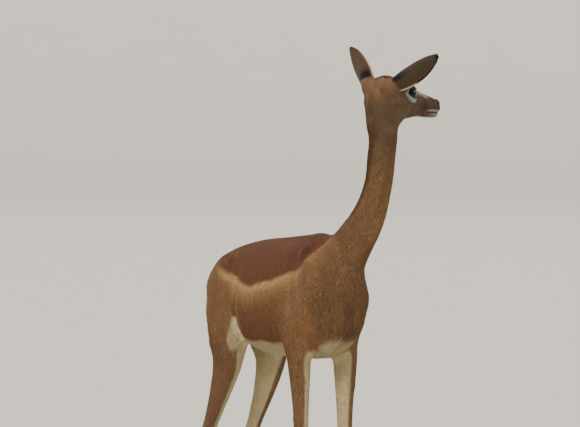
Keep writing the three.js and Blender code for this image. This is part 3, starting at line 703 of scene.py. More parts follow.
def eyePlace(h, side):
    # distance outside the lid opening in mm, angle round the eye, and direction out of the eye
    centre, ahead, up, gaze = eyeAxes(side)
    q = h - centre
    a, b = q @ ahead, q @ up
    b = b + 1.5 * a / form["eyeHalfLength"]
    angle = np.arctan2(b / form["eyeHalfHeight"], a / form["eyeHalfLength"])
    edgeA, edgeB = lidShape(angle)
    edge = np.hypot(edgeA, edgeB + 1.5 * edgeA / form["eyeHalfLength"])
    return np.hypot(a, b) - edge, angle, q, q @ gaze


def carveFace(p):
    # lids round the eyes, the mouth line with its lips, and the nostrils
    out = p.copy()
    face = (p[:, 2] > jawFrom) & (p[:, 2] < 1310)
    h = toHead(p[face])
    radius = form["eyeRadius"]
    for side in (1, -1):
        outside, angle, q, depth = eyePlace(h, side)
        r = np.linalg.norm(q, axis=1)
        near = (outside < 12) & (depth > 2)
        upper = smoothStep(-0.1, 0.5, np.sin(angle))
        lid = radius + 1.5 + 0.7 * upper - 0.35 * np.clip(outside - 1.5, 0, 4)
        target = lid + (r - lid) * smoothStep(2.5, 11, outside)
        target -= (0.6 + 1.5 * upper) * np.exp(-((outside - 5.4) / 1.5) ** 2)
        target += 0.9 * upper * np.exp(-((outside - 8.4) / 1.8) ** 2)
        target = np.where(outside < -0.1, radius - 3.2, target)
        h = np.where(near[:, None], h + q / r[:, None] * (target - r)[:, None], h)
    f, l, z = h.T
    side = np.abs(l)
    # mouth: a groove between rounded lips
    place = np.clip((f - 158) / (form["headFront"] + 2 - 158), 0, 1)
    mouthZ = 1231.6 - 1.6 * smoothStep(0, 1, place) + 1.2 * np.exp(-((f - 161) / 5) ** 2)
    dz = z - mouthZ
    strength = smoothStep(156, 163, f)
    inward = np.stack([-smoothStep(185, 206, f), -np.sign(l) * (1 - 0.8 * smoothStep(190, 206, f)), 0 * f], 1)
    inward /= np.maximum(np.linalg.norm(inward, axis=1, keepdims=True), 1e-6)
    groove = 2.6 * np.exp(-(dz / 1.15) ** 2) - 0.7 * np.exp(-((dz - 3.4) / 2.0) ** 2)
    groove -= 0.9 * np.exp(-((dz + 3.3) / 1.8) ** 2)
    lips = (np.abs(dz) < 9) & (f > 150)
    h = np.where(lips[:, None], h + inward * (groove * strength)[:, None], h)
    # nostrils: comma-shaped, opening forward and outward
    wide = side - 10.2
    rise = z - 1252.5
    along, across = 0.78 * wide + 0.62 * rise, 0.62 * wide - 0.78 * rise
    across = across - 0.09 * along ** 2
    ring = np.hypot(along / 5.6, across / 2.6)
    pit = -7.5 * (1 - smoothStep(0.5, 1.05, ring)) + 0.9 * np.exp(-((ring - 1.35) / 0.28) ** 2)
    nose = (f > 190) & (ring < 2.2)
    push = np.stack([np.ones(len(f)), 0.15 * np.sign(l), 0 * f], 1)
    h = np.where(nose[:, None], h + push * pit[:, None], h)
    # a fine furrow below the nose
    furrow = (f > 198) & (side < 4) & (dz > 1)
    h[furrow, 0] -= 1.2 * np.exp(-(side[furrow] / 1.3) ** 2) * smoothStep(1, 5, dz[furrow])
    out[face] = fromHead(h)
    return out


def refineFace(mesh):
    # a finer mesh where the lids, lips and nostrils are cut
    bm = bmesh.new()
    bm.from_mesh(mesh)
    co = toBodyMm(np.array([v.co[:] for v in bm.verts]))
    h = toHead(co)
    fine = np.zeros(len(co), bool)
    for side in (1, -1):
        outside, _, _, depth = eyePlace(h, side)
        fine |= (outside < 8.5) & (outside > -4) & (depth > 2)
    fine |= (h[:, 0] > 154) & (np.abs(h[:, 2] - 1231) < 7) & (co[:, 2] > jawFrom)
    fine |= (h[:, 0] > 190) & (np.abs(h[:, 2] - 1252) < 11)
    fine &= (co[:, 2] > jawFrom) & (co[:, 2] < 1312)
    flags = fine.tolist()
    edges = [e for e in bm.edges if flags[e.verts[0].index] and flags[e.verts[1].index]]
    bmesh.ops.subdivide_edges(bm, edges=edges, cuts=1, use_grid_fill=True)
    bmesh.ops.triangulate(bm, faces=[f for f in bm.faces if len(f.verts) > 4])
    bm.to_mesh(mesh)
    bm.free()


refineFace(skinMesh)
moveSkin(skinMesh, 2)
setPoints(skinMesh, toMetres(carveFace(toBodyMm(points(skinMesh)))))
smoothShaded(skinMesh)
skinMesh.update()
print("face carved", len(skinMesh.polygons))


# Markings: one function colours the skin and the coat alike
def toLinear(hexColour):
    values = np.array([int(hexColour[i:i + 2], 16) / 255 for i in (1, 3, 5)])
    return np.where(values <= 0.04045, values / 12.92, ((values + 0.055) / 1.055) ** 2.4)


coatColours = {
    "saddle": "#75452d",      # dark reddish brown over the back
    "stripe": "#d2aa74",      # pale edge below the saddle
    "flank": "#825630",
    "flankLow": "#7a5234",
    "thigh": "#926b4a",
    # deep brown, laid as painted shade in the crease before the thigh, and to darken the back near the
    # withers
    "crease": "#3a2416",
    "belly": "#c4b389",
    "neck": "#785a3e",
    "nape": "#4f3320",
    "leg": "#7a5c42",
    "pastern": "#5f4630",
    "head": "#584534",
    "bridge": "#5c3725",      # reddish top of the nose
    "streak": "#9a8670",
    # dark brown, laid as painted shade under the jaw and below the lower lip
    "muzzle": "#3a2f25",
    "jaw": "#4d382a",
    "eyeRing": "#8c9194",
    "lip": "#8f8b86",
    "pale": "#c9bea9",
    "black": "#110c0a",
    "earBack": "#3a3023",
    "earInside": "#a99b85",
}
# place along the body and height of the saddle's lower edge
saddleEdge = makeCurve([
    [-600, 872], [-540, 858], [-500, 842], [-461, 828], [-407, 819], [-323, 802], [-250, 791], [-183, 803],
    [-116, 816], [-37, 835], [10, 853], [38, 880], [60, 935], [90, 990],
])


def brushFor(colour):
    # a brush that lays a named colour over the given ones, as strongly as its mask says
    def lay(mask, name):
        colour[:] = colour + (toLinear(coatColours[name]) - colour) * np.clip(mask, 0, 1)[:, None]
    return lay


def pastNeckRoot(p):
    # how far a point is past the neck's root, in mm
    return (p - np.array([96.0, 34, 908])) @ np.array([0.58, 0.27, 0.77])


def neckPlace(p):
    # how far past the neck's root, and the angle round the neck from the throat
    x, y, z = p.T
    _, cx, cy, _, _, turn = neckCurve(z)
    angle = np.arctan2(y - cy, x - cx) - turn
    return pastNeckRoot(p), (angle + np.pi) % (2 * np.pi) - np.pi


def bodyMarkings(p, n):
    x, y, z = p.T
    side = np.abs(y)
    folded = np.stack([x, side, z], 1)
    outward = np.where(y > 0, n[:, 1], -n[:, 1])
    onFore = smoothStep(16, 3, limbField(folded, foreCurve, 36, 700, 34)) * smoothStep(735, 690, z)
    onHind = smoothStep(18, 4, limbField(folded, hindCurve, 36, 700, 70)) * smoothStep(780, 730, z)
    ripple = 3.0 * np.sin(x * 0.045 + 1.3) + 2.0 * np.sin(x * 0.11 + z * 0.02)
    ripple += 1.2 * np.sin(x * 0.31 + y * 0.2)
    colour = np.tile(toLinear(coatColours["flank"]), (len(p), 1))
    lay = brushFor(colour)
    lay(smoothStep(770, 700, z + ripple) * smoothStep(-10, -120, x), "flankLow")
    # thigh and rump, with painted shade in the crease in front of the thigh and a painted highlight on the
    # fold before it
    thighEdge = -352 - 0.05 * (800 - z)
    lay(smoothStep(thighEdge + 10, thighEdge - 16, x) * smoothStep(560, 640, z), "thigh")
    fold = smoothStep(850, 815, z) * smoothStep(650, 700, z)
    # painted highlight along the fold, then painted shade in the crease before the thigh
    lay(np.exp(-((x - thighEdge - 24) / 15) ** 2) * fold * 0.28, "stripe")
    lay(np.exp(-((x - thighEdge) / 6) ** 2) * fold * 0.75, "crease")
    lay(smoothStep(-130, -20, x) * 0.8, "thigh")
    lay(smoothStep(-440, -540, x) * smoothStep(640, 760, z) * 0.14, "stripe")
    # saddle with a crisp lower edge and the pale stripe below it
    rise = z + ripple * 0.5 - saddleEdge(x)[1]
    onTrunk = smoothStep(120, 60, x) * smoothStep(985, 940, z)
    fade = smoothStep(-500, -420, x) * (0.3 + 0.7 * smoothStep(20, -90, x)) * onTrunk
    lay(np.exp(-((rise + 11) / 10) ** 2) * 0.85 * fade, "stripe")
    lay(np.exp(-((rise + 28) / 20) ** 2) * 0.32 * fade * smoothStep(-440, -350, x), "stripe")
    soft = 4 + 34 * smoothStep(-455, -545, x)
    lay(smoothStep(-soft, soft, rise) * onTrunk, "saddle")
    # the saddle darker high on the back towards the withers
    lay(smoothStep(0, 30, rise) * smoothStep(-120, 20, x) * onTrunk * 0.3, "crease")
    # neck, down to the chest
    past, angle = neckPlace(p)
    onNeck = np.maximum(smoothStep(-80, 20, past), smoothStep(58, 112, x) * smoothStep(630, 690, z))
    lay(onNeck * (1 - smoothStep(-4, 4, rise) * onTrunk), "neck")
    lay(smoothStep(60, 160, past) * smoothStep(1060, 1190, z), "head")
    nape = smoothStep(2.2, 2.8, np.abs(angle)) * smoothStep(20, 70, past) * smoothStep(1250, 1180, z)
    lay(nape * 0.75, "nape")
    mask = smoothStep(0.5, 0.1, np.abs(angle)) * smoothStep(10, 60, past) * smoothStep(1180, 1060, z) * 0.06
    lay(mask, "stripe")
    # legs: brown outside all the way down, paler towards the cannon
    leg = np.maximum(onFore, onHind)
    lay(leg * smoothStep(700, 560, z), "leg")
    lay(smoothStep(90, 40, z), "pastern")
    # white underside: belly and brisket
    under = 651 + 3 * np.sin(x * 0.05) - 26 * smoothStep(-335, -420, x) - 26 * smoothStep(0, 60, x)
    white = smoothStep(2.5, -2.5, z - under - ripple * 0.3) * (1 - leg * smoothStep(-0.1, 0.25, outward))
    lay(white * smoothStep(560, 590, z) * smoothStep(98, 84, x), "belly")
    brisket = smoothStep(0.42, 0.78, -n[:, 2]) * smoothStep(48, 36, side)
    lay(brisket * smoothStep(682, 660, z) * (z > 590) * smoothStep(30, 55, x), "belly")
    # white inner legs and the front of the thigh, and the buttocks
    front = smoothStep(0.1, 0.7, n[:, 0])
    reach = np.where(x < -300, 0.42 * front * smoothStep(575, 610, z), 0.1 * front) - 0.12
    inner = smoothStep(reach + 0.16, reach - 0.16, outward) * leg
    lay(inner * smoothStep(150, 260, z) * smoothStep(728, 700, z), "belly")
    lay(smoothStep(0.1, -0.4, outward) * smoothStep(260, 150, z) * (z > 60) * 0.4, "pale")
    lay(smoothStep(0.3, 0.9, n[:, 0]) * smoothStep(440, 330, z) * (z > 60) * 0.4, "thigh")
    wedge = (z - 712 + ripple) / -62
    gap = smoothStep(0, 0.25, wedge) * smoothStep(1.6, 1.2, wedge)
    gap *= smoothStep(5, -5, np.abs(x + 360 + 6 * wedge) - 26 * np.clip(wedge, 0, 1) ** 0.8)
    lay(gap * 0.9, "belly")
    knee = np.exp(-(((z - 374) / 17) ** 2)) * (x > -300) * smoothStep(0.45, 0.95, n[:, 0])
    lay(knee * 0.9, "black")
    buttock = smoothStep(-0.5, -0.85, n[:, 0]) * smoothStep(27, 15, side) * smoothStep(838, 812, z)
    lay(buttock * (x < -480) * (z > 600), "belly")
    # tail: brown above, white below, black tuft
    tail = smoothStep(-586, -594, x) * (side < 26) * (z > 560)
    lay(tail, "thigh")
    lay(tail * smoothStep(0.2, 0.7, n[:, 0]) * (z > 700), "belly")
    lay(tail * smoothStep(742, 712, z), "black")
    return colour


def faceMarkings(p, n, colour):
    h = toHead(p)
    f, l, z = h.T
    side = np.abs(l)
    onHead = smoothStep(1190, 1222, z + 0.35 * f) * (z > 1180)
    lay = brushFor(colour)
    flow = 1.6 * np.sin(f * 0.16 + side * 0.1) + 0.8 * np.sin(f * 0.37 + z * 0.2)
    lay(onHead * smoothStep(-30, 20, f), "head")
    lay(onHead * smoothStep(1240, 1306, z) * smoothStep(44, 0, f) * 0.42, "thigh")
    # reddish forehead and nose bridge, with a pale streak along its side
    top = smoothStep(-3, 5, z - (1303 - 0.22 * np.maximum(f - 40, 0)) + flow * 0.4)
    lay(onHead * top * smoothStep(-2, 24, f), "bridge")
    streakZ = z - (1286.5 - 0.27 * (f - 96)) + flow * 0.5
    streak = np.exp(-((streakZ / 3.4) ** 2)) * smoothStep(94, 108, f) * smoothStep(170, 150, f)
    mask = smoothStep(112, 142, f) * smoothStep(1276, 1266, z + 0.15 * (f - 150))
    lay(mask * smoothStep(1232, 1240, z) * 0.9, "muzzle")
    lay(smoothStep(156, 188, f) * smoothStep(1250, 1262, z) * 0.9, "muzzle")
    lay(onHead * streak * smoothStep(8, 14, side) * 0.9, "streak")
    # jaw, lips and chin
    # painted shade on the downward-facing sides of the jaw and face
    lay(smoothStep(60, 120, f) * smoothStep(0.0, 0.6, -n[:, 2]) * onHead * 0.7, "jaw")
    mask = smoothStep(60, 110, f) * smoothStep(0.75, 0.95, -n[:, 2]) * onHead * smoothStep(14, 6, side) * 0.5
    lay(mask, "pale")
    mouthZ = 1231.6 - 1.6 * smoothStep(158, 208, f)
    upperLip = smoothStep(150, 166, f) * smoothStep(7.5, 4.5, z - mouthZ) * smoothStep(-0.5, 1, z - mouthZ)
    lay(upperLip * 0.9, "lip")
    chin = smoothStep(158, 196, f) * smoothStep(0.5, -1, z - mouthZ) * (z > jawFrom)
    lay(chin * (0.34 + 0.46 * smoothStep(190, 202, f)), "pale")
    # painted shade in a band below the lower lip
    lay(smoothStep(150, 190, f) * np.exp(-(((z - mouthZ + 8.5) / 2.8) ** 2)) * 0.4, "jaw")
    lay(np.exp(-(((z - mouthZ) / 1.6) ** 2)) * smoothStep(156, 163, f), "black")
    # nose leather
    lay(smoothStep(195, 204, f) * smoothStep(1239, 1245, z) * smoothStep(1269, 1259, z), "black")
    lowerLip = smoothStep(186, 197, f) * np.exp(-(((z - mouthZ + 2.4) / 1.9) ** 2)) * (z > jawFrom)
    lay(lowerLip * 0.85, "black")
    # eyes: a pale ring widest below and behind, a black corner in front and a dark brow
    for sign in (1, -1):
        outside, angle, q, depth = eyePlace(h, sign)
        near = (depth > -4) * (np.abs(z - 1277) < 45)
        turn = 0.5 - 0.5 * np.cos(angle - 0.9)
        reach = 1.8 + 8.2 * smoothStep(0.2, 0.9, turn)
        reach *= 1 - 0.55 * smoothStep(0.5, 0.95, np.sin(angle)) * smoothStep(-0.9, 0.2, np.cos(angle))
        lay(near * smoothStep(reach + 2.8, reach - 2.4, outside) * 0.92, "eyeRing")
        lay(near * smoothStep(0.35, 0.9, np.sin(angle)) * smoothStep(8, 3.5, outside) * 0.7, "muzzle")
        ahead = q @ eyeAxes(sign)[1]
        below = z - (1275 - 0.62 * (ahead - 14))
        tear = np.exp(-((below / 3.9) ** 2)) * smoothStep(11, 15, ahead) * smoothStep(34, 24, ahead)
        lay(near * tear, "black")
        lay(near * smoothStep(1.9, 0.9, outside), "black")
    # black streak across the crown
    crown = np.exp(-(((f - 12 + 0.3 * side) / 4.6) ** 2)) * smoothStep(36, 28, side)
    crown = crown * smoothStep(1290, 1304, z)
    midline = np.exp(-(((l + 3 + 0.15 * f) / 3.4) ** 2)) * smoothStep(-22, -10, f) * smoothStep(34, 22, f)
    crown = np.maximum(crown, midline * smoothStep(1290, 1302, z))
    lay(crown, "black")
    # ears: grey-brown backs with a black patch low on the inner half, pale inside with dark lines, black tips
    part, up, away, edge, across = isEar(p)
    part = part * (z > earsFrom)
    back, inside = part * (away < 0), part * (away >= 0)
    lay(back * smoothStep(0.06, 0.2, up), "earBack")
    # painted sunlight: the back of the left ear a little lighter and more orange
    lay(back * (l > 0) * 0.15, "leg")
    lay(back * smoothStep(0.6, 0.95, edge) * 0.5, "bridge")
    lay(inside, "earInside")
    fan = 0.5 + 0.5 * np.cos(across * 17)
    lines = smoothStep(0.45, 0.75, fan) * smoothStep(0.9, 0.7, edge) * smoothStep(0.12, 0.3, up)
    lay(inside * lines * 0.8, "muzzle")
    patch = np.exp(-(((up - 0.2) / 0.14) ** 2)) * smoothStep(-0.25, 0.2, across)
    patch = patch * smoothStep(0.98, 0.8, across)
    lay(back * patch * 1.25, "black")
    outer, innerEdge = across < 0, across >= 0
    lay(part * outer * smoothStep(0.89, 0.97, edge) * smoothStep(0.5, 0.4, up), "pale")
    lay(part * innerEdge * smoothStep(0.93, 0.99, edge) * smoothStep(0.8, 0.7, up) * 0.8, "pale")
    lay(part * outer * smoothStep(0.82, 0.94, edge) * smoothStep(0.42, 0.56, up), "black")
    lay(part * innerEdge * smoothStep(0.86, 0.96, edge) * smoothStep(0.76, 0.88, up), "black")
    lay(part * smoothStep(0.92, 0.97, up), "black")
    return colour


def markings(p, n):
    return np.clip(faceMarkings(p, n, bodyMarkings(p, n)), 0, 1)


# Unwrap of the skin's own shape: each body part laid out flat round its own axis
sheetSize = 1640.0        # mm of skin across the whole map
# part: left, bottom, width, height and enlargement on the sheet
sheets = {
    "trunk": (20, 20, 920, 760, 1.0),
    "head": (960, 20, 640, 560, 2.1),
    "neck": (20, 800, 300, 470, 1.0),
    "foreLeft": (340, 800, 210, 640, 1.0),
    "foreRight": (560, 800, 210, 640, 1.0),
    "hindLeft": (780, 800, 250, 640, 1.0),
    "hindRight": (1040, 800, 250, 640, 1.0),
    "earLeftBack": (1310, 800, 100, 260, 1.5),
    "earLeftFront": (1420, 800, 100, 260, 1.5),
    "earRightBack": (1310, 1070, 100, 260, 1.5),
    "earRightFront": (1420, 1070, 100, 260, 1.5),
    "tail": (1530, 800, 100, 330, 1.0),
}
sheetNames = list(sheets)


def wrapTo(angle, base):
    return base + (angle - base + np.pi) % (2 * np.pi) - np.pi


def partOf(p):
    # which sheet a point of the skin belongs to
    x, y, z = p.T
    part = np.full(len(p), sheetNames.index("trunk"))
    part[pastNeckRoot(p) > 0] = sheetNames.index("neck")
    h = toHead(p)
    onHead = ((h[:, 0] + 5) * 0.5 + (z - 1222) * 0.866 > 0) & (z > 1185)
    part[onHead] = sheetNames.index("head")
    legs = z < 600
    fore = x > -300
    for name, mask in (("foreLeft", fore & (y > 0)), ("foreRight", fore & (y <= 0)),
                       ("hindLeft", ~fore & (y > 0)), ("hindRight", ~fore & (y <= 0))):
        part[legs & mask] = sheetNames.index(name)
    tail = (x < -584) & (np.abs(y) < 26) & (z < 862) & (z > 575)
    part[tail] = sheetNames.index("tail")
    for side, name in ((1, "earLeft"), (-1, "earRight")):
        t, a, away, _, _, _ = earPlace(h, side)
        on = (t > 0.14) & (np.abs(a) < 1.3) & (np.abs(away) < 10) & (z > earsFrom)
        part[on & (away < 0)] = sheetNames.index(name + "Back")
        part[on & (away >= 0)] = sheetNames.index(name + "Front")
    return part


def flatten(p, part, base=None):
    # around and along each part in mm; base keeps a face's corners on one side of the seam
    around, along = np.zeros(len(p)), np.zeros(len(p))
    h = toHead(p)

    def angleOf(a, b, use):
        angle = np.arctan2(a, b)
        return angle if base is None else wrapTo(angle, base[use])

    for i, name in enumerate(sheetNames):
        use = part == i
        if not use.any():
            continue
        px, py, pz = p[use].T
        if name == "trunk":
            _, top, bottom, _, _ = trunkCurve(px)
            rise = pz - (top + bottom) / 2
            angle = angleOf(py, rise, use)
            short = np.maximum(0, 100 - np.hypot(py, rise)) * 0.8
            ends = smoothStep(60, 120, px) - smoothStep(-480, -540, px)
            around[use] = angle * 115
            along[use] = px + short * ends
        elif name == "neck":
            _, cx, cy, _, _, _ = neckCurve(pz)
            around[use] = angleOf(py - cy, px - cx, use) * 44
            along[use] = pz + 0.2 * px
        elif name == "head":
            f, l, headZ = h[use].T
            rise = headZ - 1256
            angle = angleOf(l, rise, use)
            short = np.maximum(0, 24 - np.hypot(l, rise))
            ends = smoothStep(170, 195, f) - smoothStep(-5, -25, f)
            around[use] = angle * 40
            along[use] = f + short * ends
        elif name.startswith(("fore", "hind")):
            curve = foreCurve if name.startswith("fore") else hindCurve
            _, cx, cy, _, _, _ = curve(pz)
            around[use] = angleOf(np.abs(py) - cy, px - cx, use) * 30
            along[use] = pz
        elif name == "tail":
            marks = np.linspace(0, 1, 30)
            _, tx, _, tz, _ = tailCurve(marks)
            place = np.interp(-pz, -tz, marks)
            around[use] = angleOf(py, px - np.interp(-pz, -tz, tx), use) * 10
            along[use] = place * 270
        else:
            side = 1 if "Left" in name else -1
            t, a, _, half, _, _ = earPlace(h[use], side)
            around[use] = a * half
            along[use] = t * form["earLength"]
    return around, along


sheetRange = {
    "trunk": (-362, -610), "neck": (-139, 800), "head": (-126, -50), "earLeftBack": (-32, 10),
    "earLeftFront": (-32, 10), "earRightBack": (-32, 10), "earRightFront": (-32, 10), "tail": (-32, 0),
    "foreLeft": (-95, 5), "foreRight": (-95, 5), "hindLeft": (-95, 5), "hindRight": (-95, 5),
}


def onSheet(around, along, part):
    uv = np.zeros((len(part), 2))
    for i, name in enumerate(sheetNames):
        use = part == i
        left, bottom, width, height, grow = sheets[name]
        lowU, lowV = sheetRange[name]
        if name == "trunk":
            u, v = (along[use] - lowV), (around[use] - lowU)
        else:
            u, v = (around[use] - lowU), (along[use] - lowV)
        if name == "head":
            u, v = v, u
        uv[use, 0] = (left + np.clip(u * grow, -12, width + 12)) / sheetSize
        uv[use, 1] = (bottom + np.clip(v * grow, -12, height + 12)) / sheetSize
    return uv


def mapSkin(mesh):
    # the bake map, and a grain map in mm that runs along each part for hair streaks
    mesh.calc_loop_triangles()
    co = toBodyMm(points(mesh))
    corner = np.empty(len(mesh.loops), np.int32)
    mesh.loops.foreach_get("vertex_index", corner)
    total = np.empty(len(mesh.polygons), np.int32)
    mesh.polygons.foreach_get("loop_total", total)
    face = np.repeat(np.arange(len(total)), total)
    centre = np.stack([np.bincount(face, co[corner, k]) for k in range(3)], 1) / total[:, None]
    part = partOf(centre)
    baseAround, _ = flatten(centre, part)
    scale = np.array([{"trunk": 115, "neck": 44, "head": 40, "tail": 10}.get(n, 30) for n in sheetNames])
    base = (baseAround / scale[part])[face]
    around, along = flatten(co[corner], part[face], base)
    uv = onSheet(around, along, part[face])
    for name, values in (("OFBake", uv), ("grain", np.stack([around, along], 1) / 1000)):
        layer = mesh.uv_layers.new(name=name)
        layer.uv.foreach_set("vector", values.astype(np.float32).ravel())


def colourLayer(mesh, name, colour):
    layer = mesh.color_attributes.new(name=name, type="FLOAT_COLOR", domain="POINT")
    rgba = np.ones((len(colour), 4), np.float32)
    rgba[:, :3] = colour
    layer.data.foreach_set("color", rgba.ravel())


mapSkin(skinMesh)
skinPoints = toBodyMm(points(skinMesh))
skinNormals = np.empty(len(skinMesh.vertices) * 3, np.float32)
skinMesh.vertex_normals.foreach_get("vector", skinNormals)
skinNormals = skinNormals.reshape(-1, 3).astype(float)
skinColour = markings(skinPoints, skinNormals)
colourLayer(skinMesh, "coat", skinColour * 1.03)
skin = link(bpy.data.objects.new("hide", skinMesh))
print("skin mapped and coloured")


# Materials
def addNode(tree, kind, settings=None, links=None):
    node = tree.nodes.new(kind)
    for key, value in (settings or {}).items():
        if key in node.inputs:
            node.inputs[key].default_value = value
        else:
            setattr(node, key, value)
    for key, source in (links or {}).items():
        tree.links.new(source, node.inputs[key])
    return node


def twoTones(tree, source, colours, places=(0, 1)):
    # a ramp between two sRGB colours
    ramp = addNode(tree, "ShaderNodeValToRGB", links={"Fac": source})
    for stop, colour, place in zip(ramp.color_ramp.elements, colours, places):
        stop.position = place
        stop.color = (*toLinear(colour), 1)
    return ramp.outputs["Color"]


def noiseOf(tree, vector, scale, detail, roughness=0.5):
    settings = {"Scale": scale, "Detail": detail, "Roughness": roughness}
    return addNode(tree, "ShaderNodeTexNoise", settings, {"Vector": vector}).outputs["Fac"]


def stretchedBy(tree, vector, scale):
    return addNode(tree, "ShaderNodeMapping", {"Scale": scale}, {"Vector": vector}).outputs["Vector"]


def rangeOf(tree, value, low, high, fromLow=0.0, fromHigh=1.0):
    settings = {"From Min": fromLow, "From Max": fromHigh, "To Min": low, "To Max": high}
    return addNode(tree, "ShaderNodeMapRange", settings, {"Value": value}).outputs["Result"]


def bumpOf(tree, shader, height, strength, distance):
    bump = addNode(tree, "ShaderNodeBump", {"Strength": strength, "Distance": distance}, {"Height": height})
    tree.links.new(bump.outputs["Normal"], shader.inputs["Normal"])


def scaledBy(tree, vector, scale):
    return addNode(tree, "ShaderNodeVectorMath", {"operation": "SCALE"}, {"Vector": vector, "Scale": scale})


def objectPlace(tree):
    return addNode(tree, "ShaderNodeTexCoord").outputs["Object"]


def newMaterial(name):
    material = bpy.data.materials.new(name)
    material.use_nodes = True
    tree = material.node_tree
    tree.nodes.clear()
    shader = addNode(tree, "ShaderNodeBsdfPrincipled")
    addNode(tree, "ShaderNodeOutputMaterial", links={"Surface": shader.outputs["BSDF"]})
    return material, tree, shader


def hideMaterial():
    # Short lying hair over hide: soft broken sheen, fine streaks along the lie, about 0.6 mm by 8 mm.
    material, tree, shader = newMaterial("short_hair_over_hide")
    grain = addNode(tree, "ShaderNodeUVMap", {"uv_map": "grain"}).outputs["UV"]
    streaks = noiseOf(tree, stretchedBy(tree, grain, (1600, 130, 1)), 1.0, 3.0, 0.6)
    clumps = noiseOf(tree, objectPlace(tree), 55.0, 4.0, 0.55)
    colour = addNode(tree, "ShaderNodeVertexColor", {"layer_name": "coat"})
    both = addNode(tree, "ShaderNodeMath", {"operation": "MULTIPLY"})
    tree.links.new(rangeOf(tree, streaks, 0.84, 1.16, 0.3, 0.7), both.inputs[0])
    tree.links.new(rangeOf(tree, clumps, 0.9, 1.1, 0.3, 0.7), both.inputs[1])
    toned = scaledBy(tree, colour.outputs["Color"], both.outputs["Value"])
    tree.links.new(toned.outputs["Vector"], shader.inputs["Base Color"])
    bumpOf(tree, shader, streaks, 0.5, 0.0007)
    tree.links.new(rangeOf(tree, clumps, 0.62, 0.85), shader.inputs["Roughness"])
    shader.inputs["Specular IOR Level"].default_value = 0.16
    return material


def hairMaterial(name, roughness, specular):
    # Lying guard hair: keratin with a soft gloss along each tuft and slight colour changes between tufts.
    material, tree, shader = newMaterial(name)
    colour = addNode(tree, "ShaderNodeVertexColor", {"layer_name": "coat"})
    clumps = noiseOf(tree, objectPlace(tree), 90.0, 3.0, 0.6)
    toned = scaledBy(tree, colour.outputs["Color"], rangeOf(tree, clumps, 0.91, 1.09, 0.3, 0.7))
    tree.links.new(toned.outputs["Vector"], shader.inputs["Base Color"])
    # each tuft is lit mostly as the skin under it is, so that a lying coat shades as one surface
    under = addNode(tree, "ShaderNodeAttribute", {"attribute_name": "rootNormal"})
    own = addNode(tree, "ShaderNodeNewGeometry")
    eased = addNode(tree, "ShaderNodeVectorMath", {"operation": "SCALE", "Scale": 0.32},
                    {"Vector": own.outputs["Normal"]})
    summed = addNode(tree, "ShaderNodeVectorMath", {"operation": "ADD"})
    tree.links.new(under.outputs["Vector"], summed.inputs[0])
    tree.links.new(eased.outputs["Vector"], summed.inputs[1])
    facing = addNode(tree, "ShaderNodeVectorMath", {"operation": "NORMALIZE"},
                     {"Vector": summed.outputs["Vector"]})
    tree.links.new(facing.outputs["Vector"], shader.inputs["Normal"])
    shader.inputs["Roughness"].default_value = roughness
    shader.inputs["Specular IOR Level"].default_value = specular
    return material


hideFinish = hideMaterial()
hairFinish = hairMaterial("guard_hair", 0.66, 0.16)
longFinish = hairMaterial("long_coarse_hair", 0.55, 0.25)
skinMesh.materials.append(hideFinish)


# Coat: thin tufts rooted in the skin, lying along it
coatSettings = {
    "density": 0.2,      # tufts per square mm on the trunk
    "length": 10.5,
    "width": 1.2,
    "faceLength": 4.6,
    "legLength": 7.5,
    "lift": 9.0,           # degrees off the skin
}


def unitRows(v):
    return v / np.maximum(np.linalg.norm(v, axis=1, keepdims=True), 1e-6)


def laidDown(v, n):
    # a direction laid down into the skin's surface, at unit length
    return unitRows(v - (v * n).sum(1, keepdims=True) * n)


def lieOf(p, n):
    # the direction the coat lies in, as a unit vector in the skin's surface
    x, y, z = p.T
    count = len(p)
    lie = np.tile([-1.0, 0, -0.32], (count, 1))
    low = smoothStep(760, 640, z)[:, None]
    lie = lie * (1 - low) + np.array([-0.55, 0, -1.0]) * low
    thigh = (smoothStep(-350, -430, x) * smoothStep(860, 780, z))[:, None]
    lie = lie * (1 - thigh) + np.array([-0.35, 0, -1.0]) * thigh
    leg = smoothStep(620, 560, z)[:, None]
    lie = lie * (1 - leg) + np.array([0.0, 0, -1.0]) * leg
    chest = (smoothStep(60, 120, x) * smoothStep(960, 900, z))[:, None]
    lie = lie * (1 - chest) + np.array([-0.25, 0, -1.0]) * chest
    _, ax, ay, _, _, _ = neckCurve(z + 8)
    _, bx, by, _, _, _ = neckCurve(z - 8)
    down = np.stack([bx - ax, by - ay, np.full(count, -16.0)], 1)
    down /= np.linalg.norm(down, axis=1, keepdims=True)
    neck = smoothStep(-50, 50, pastNeckRoot(p))[:, None]
    lie = lie * (1 - neck) + down * neck
    h = toHead(p)
    onHead = smoothStep(1200, 1245, z + 0.4 * h[:, 0]) * (z > 1190)
    f, l = h[:, 0], h[:, 1]
    headLie = np.stack([-np.ones(count), 0.25 * np.sign(l) * smoothStep(90, 30, f),
                        -0.25 * smoothStep(60, -10, f)], 1)
    headLie = np.stack([headLie[:, 0] * headCos - headLie[:, 1] * headSin,
                        headLie[:, 0] * headSin + headLie[:, 1] * headCos, headLie[:, 2]], 1)
    onHead = onHead[:, None]
    lie = lie * (1 - onHead) + headLie * onHead
    for side in (1, -1):
        _, across, _, axis = earFrame(side)
        t, a, away, _, _, _ = earPlace(h, side)
        on = (smoothStep(0.04, 0.2, t) * (np.abs(a) < 1.3) * (np.abs(away) < 10) * (z > earsFrom))[:, None]
        world = headTurned(axis)
        outward = np.sign(a)[:, None] * headTurned(across) * (0.1 + 0.25 * (away > 0))[:, None]
        lie = lie * (1 - on) + (world + outward) * on
    tail = ((x < -584) & (np.abs(y) < 26) & (z < 862))[:, None]
    lie = np.where(tail, np.array([-0.05, 0, -1.0]), lie)
    return laidDown(lie, n)


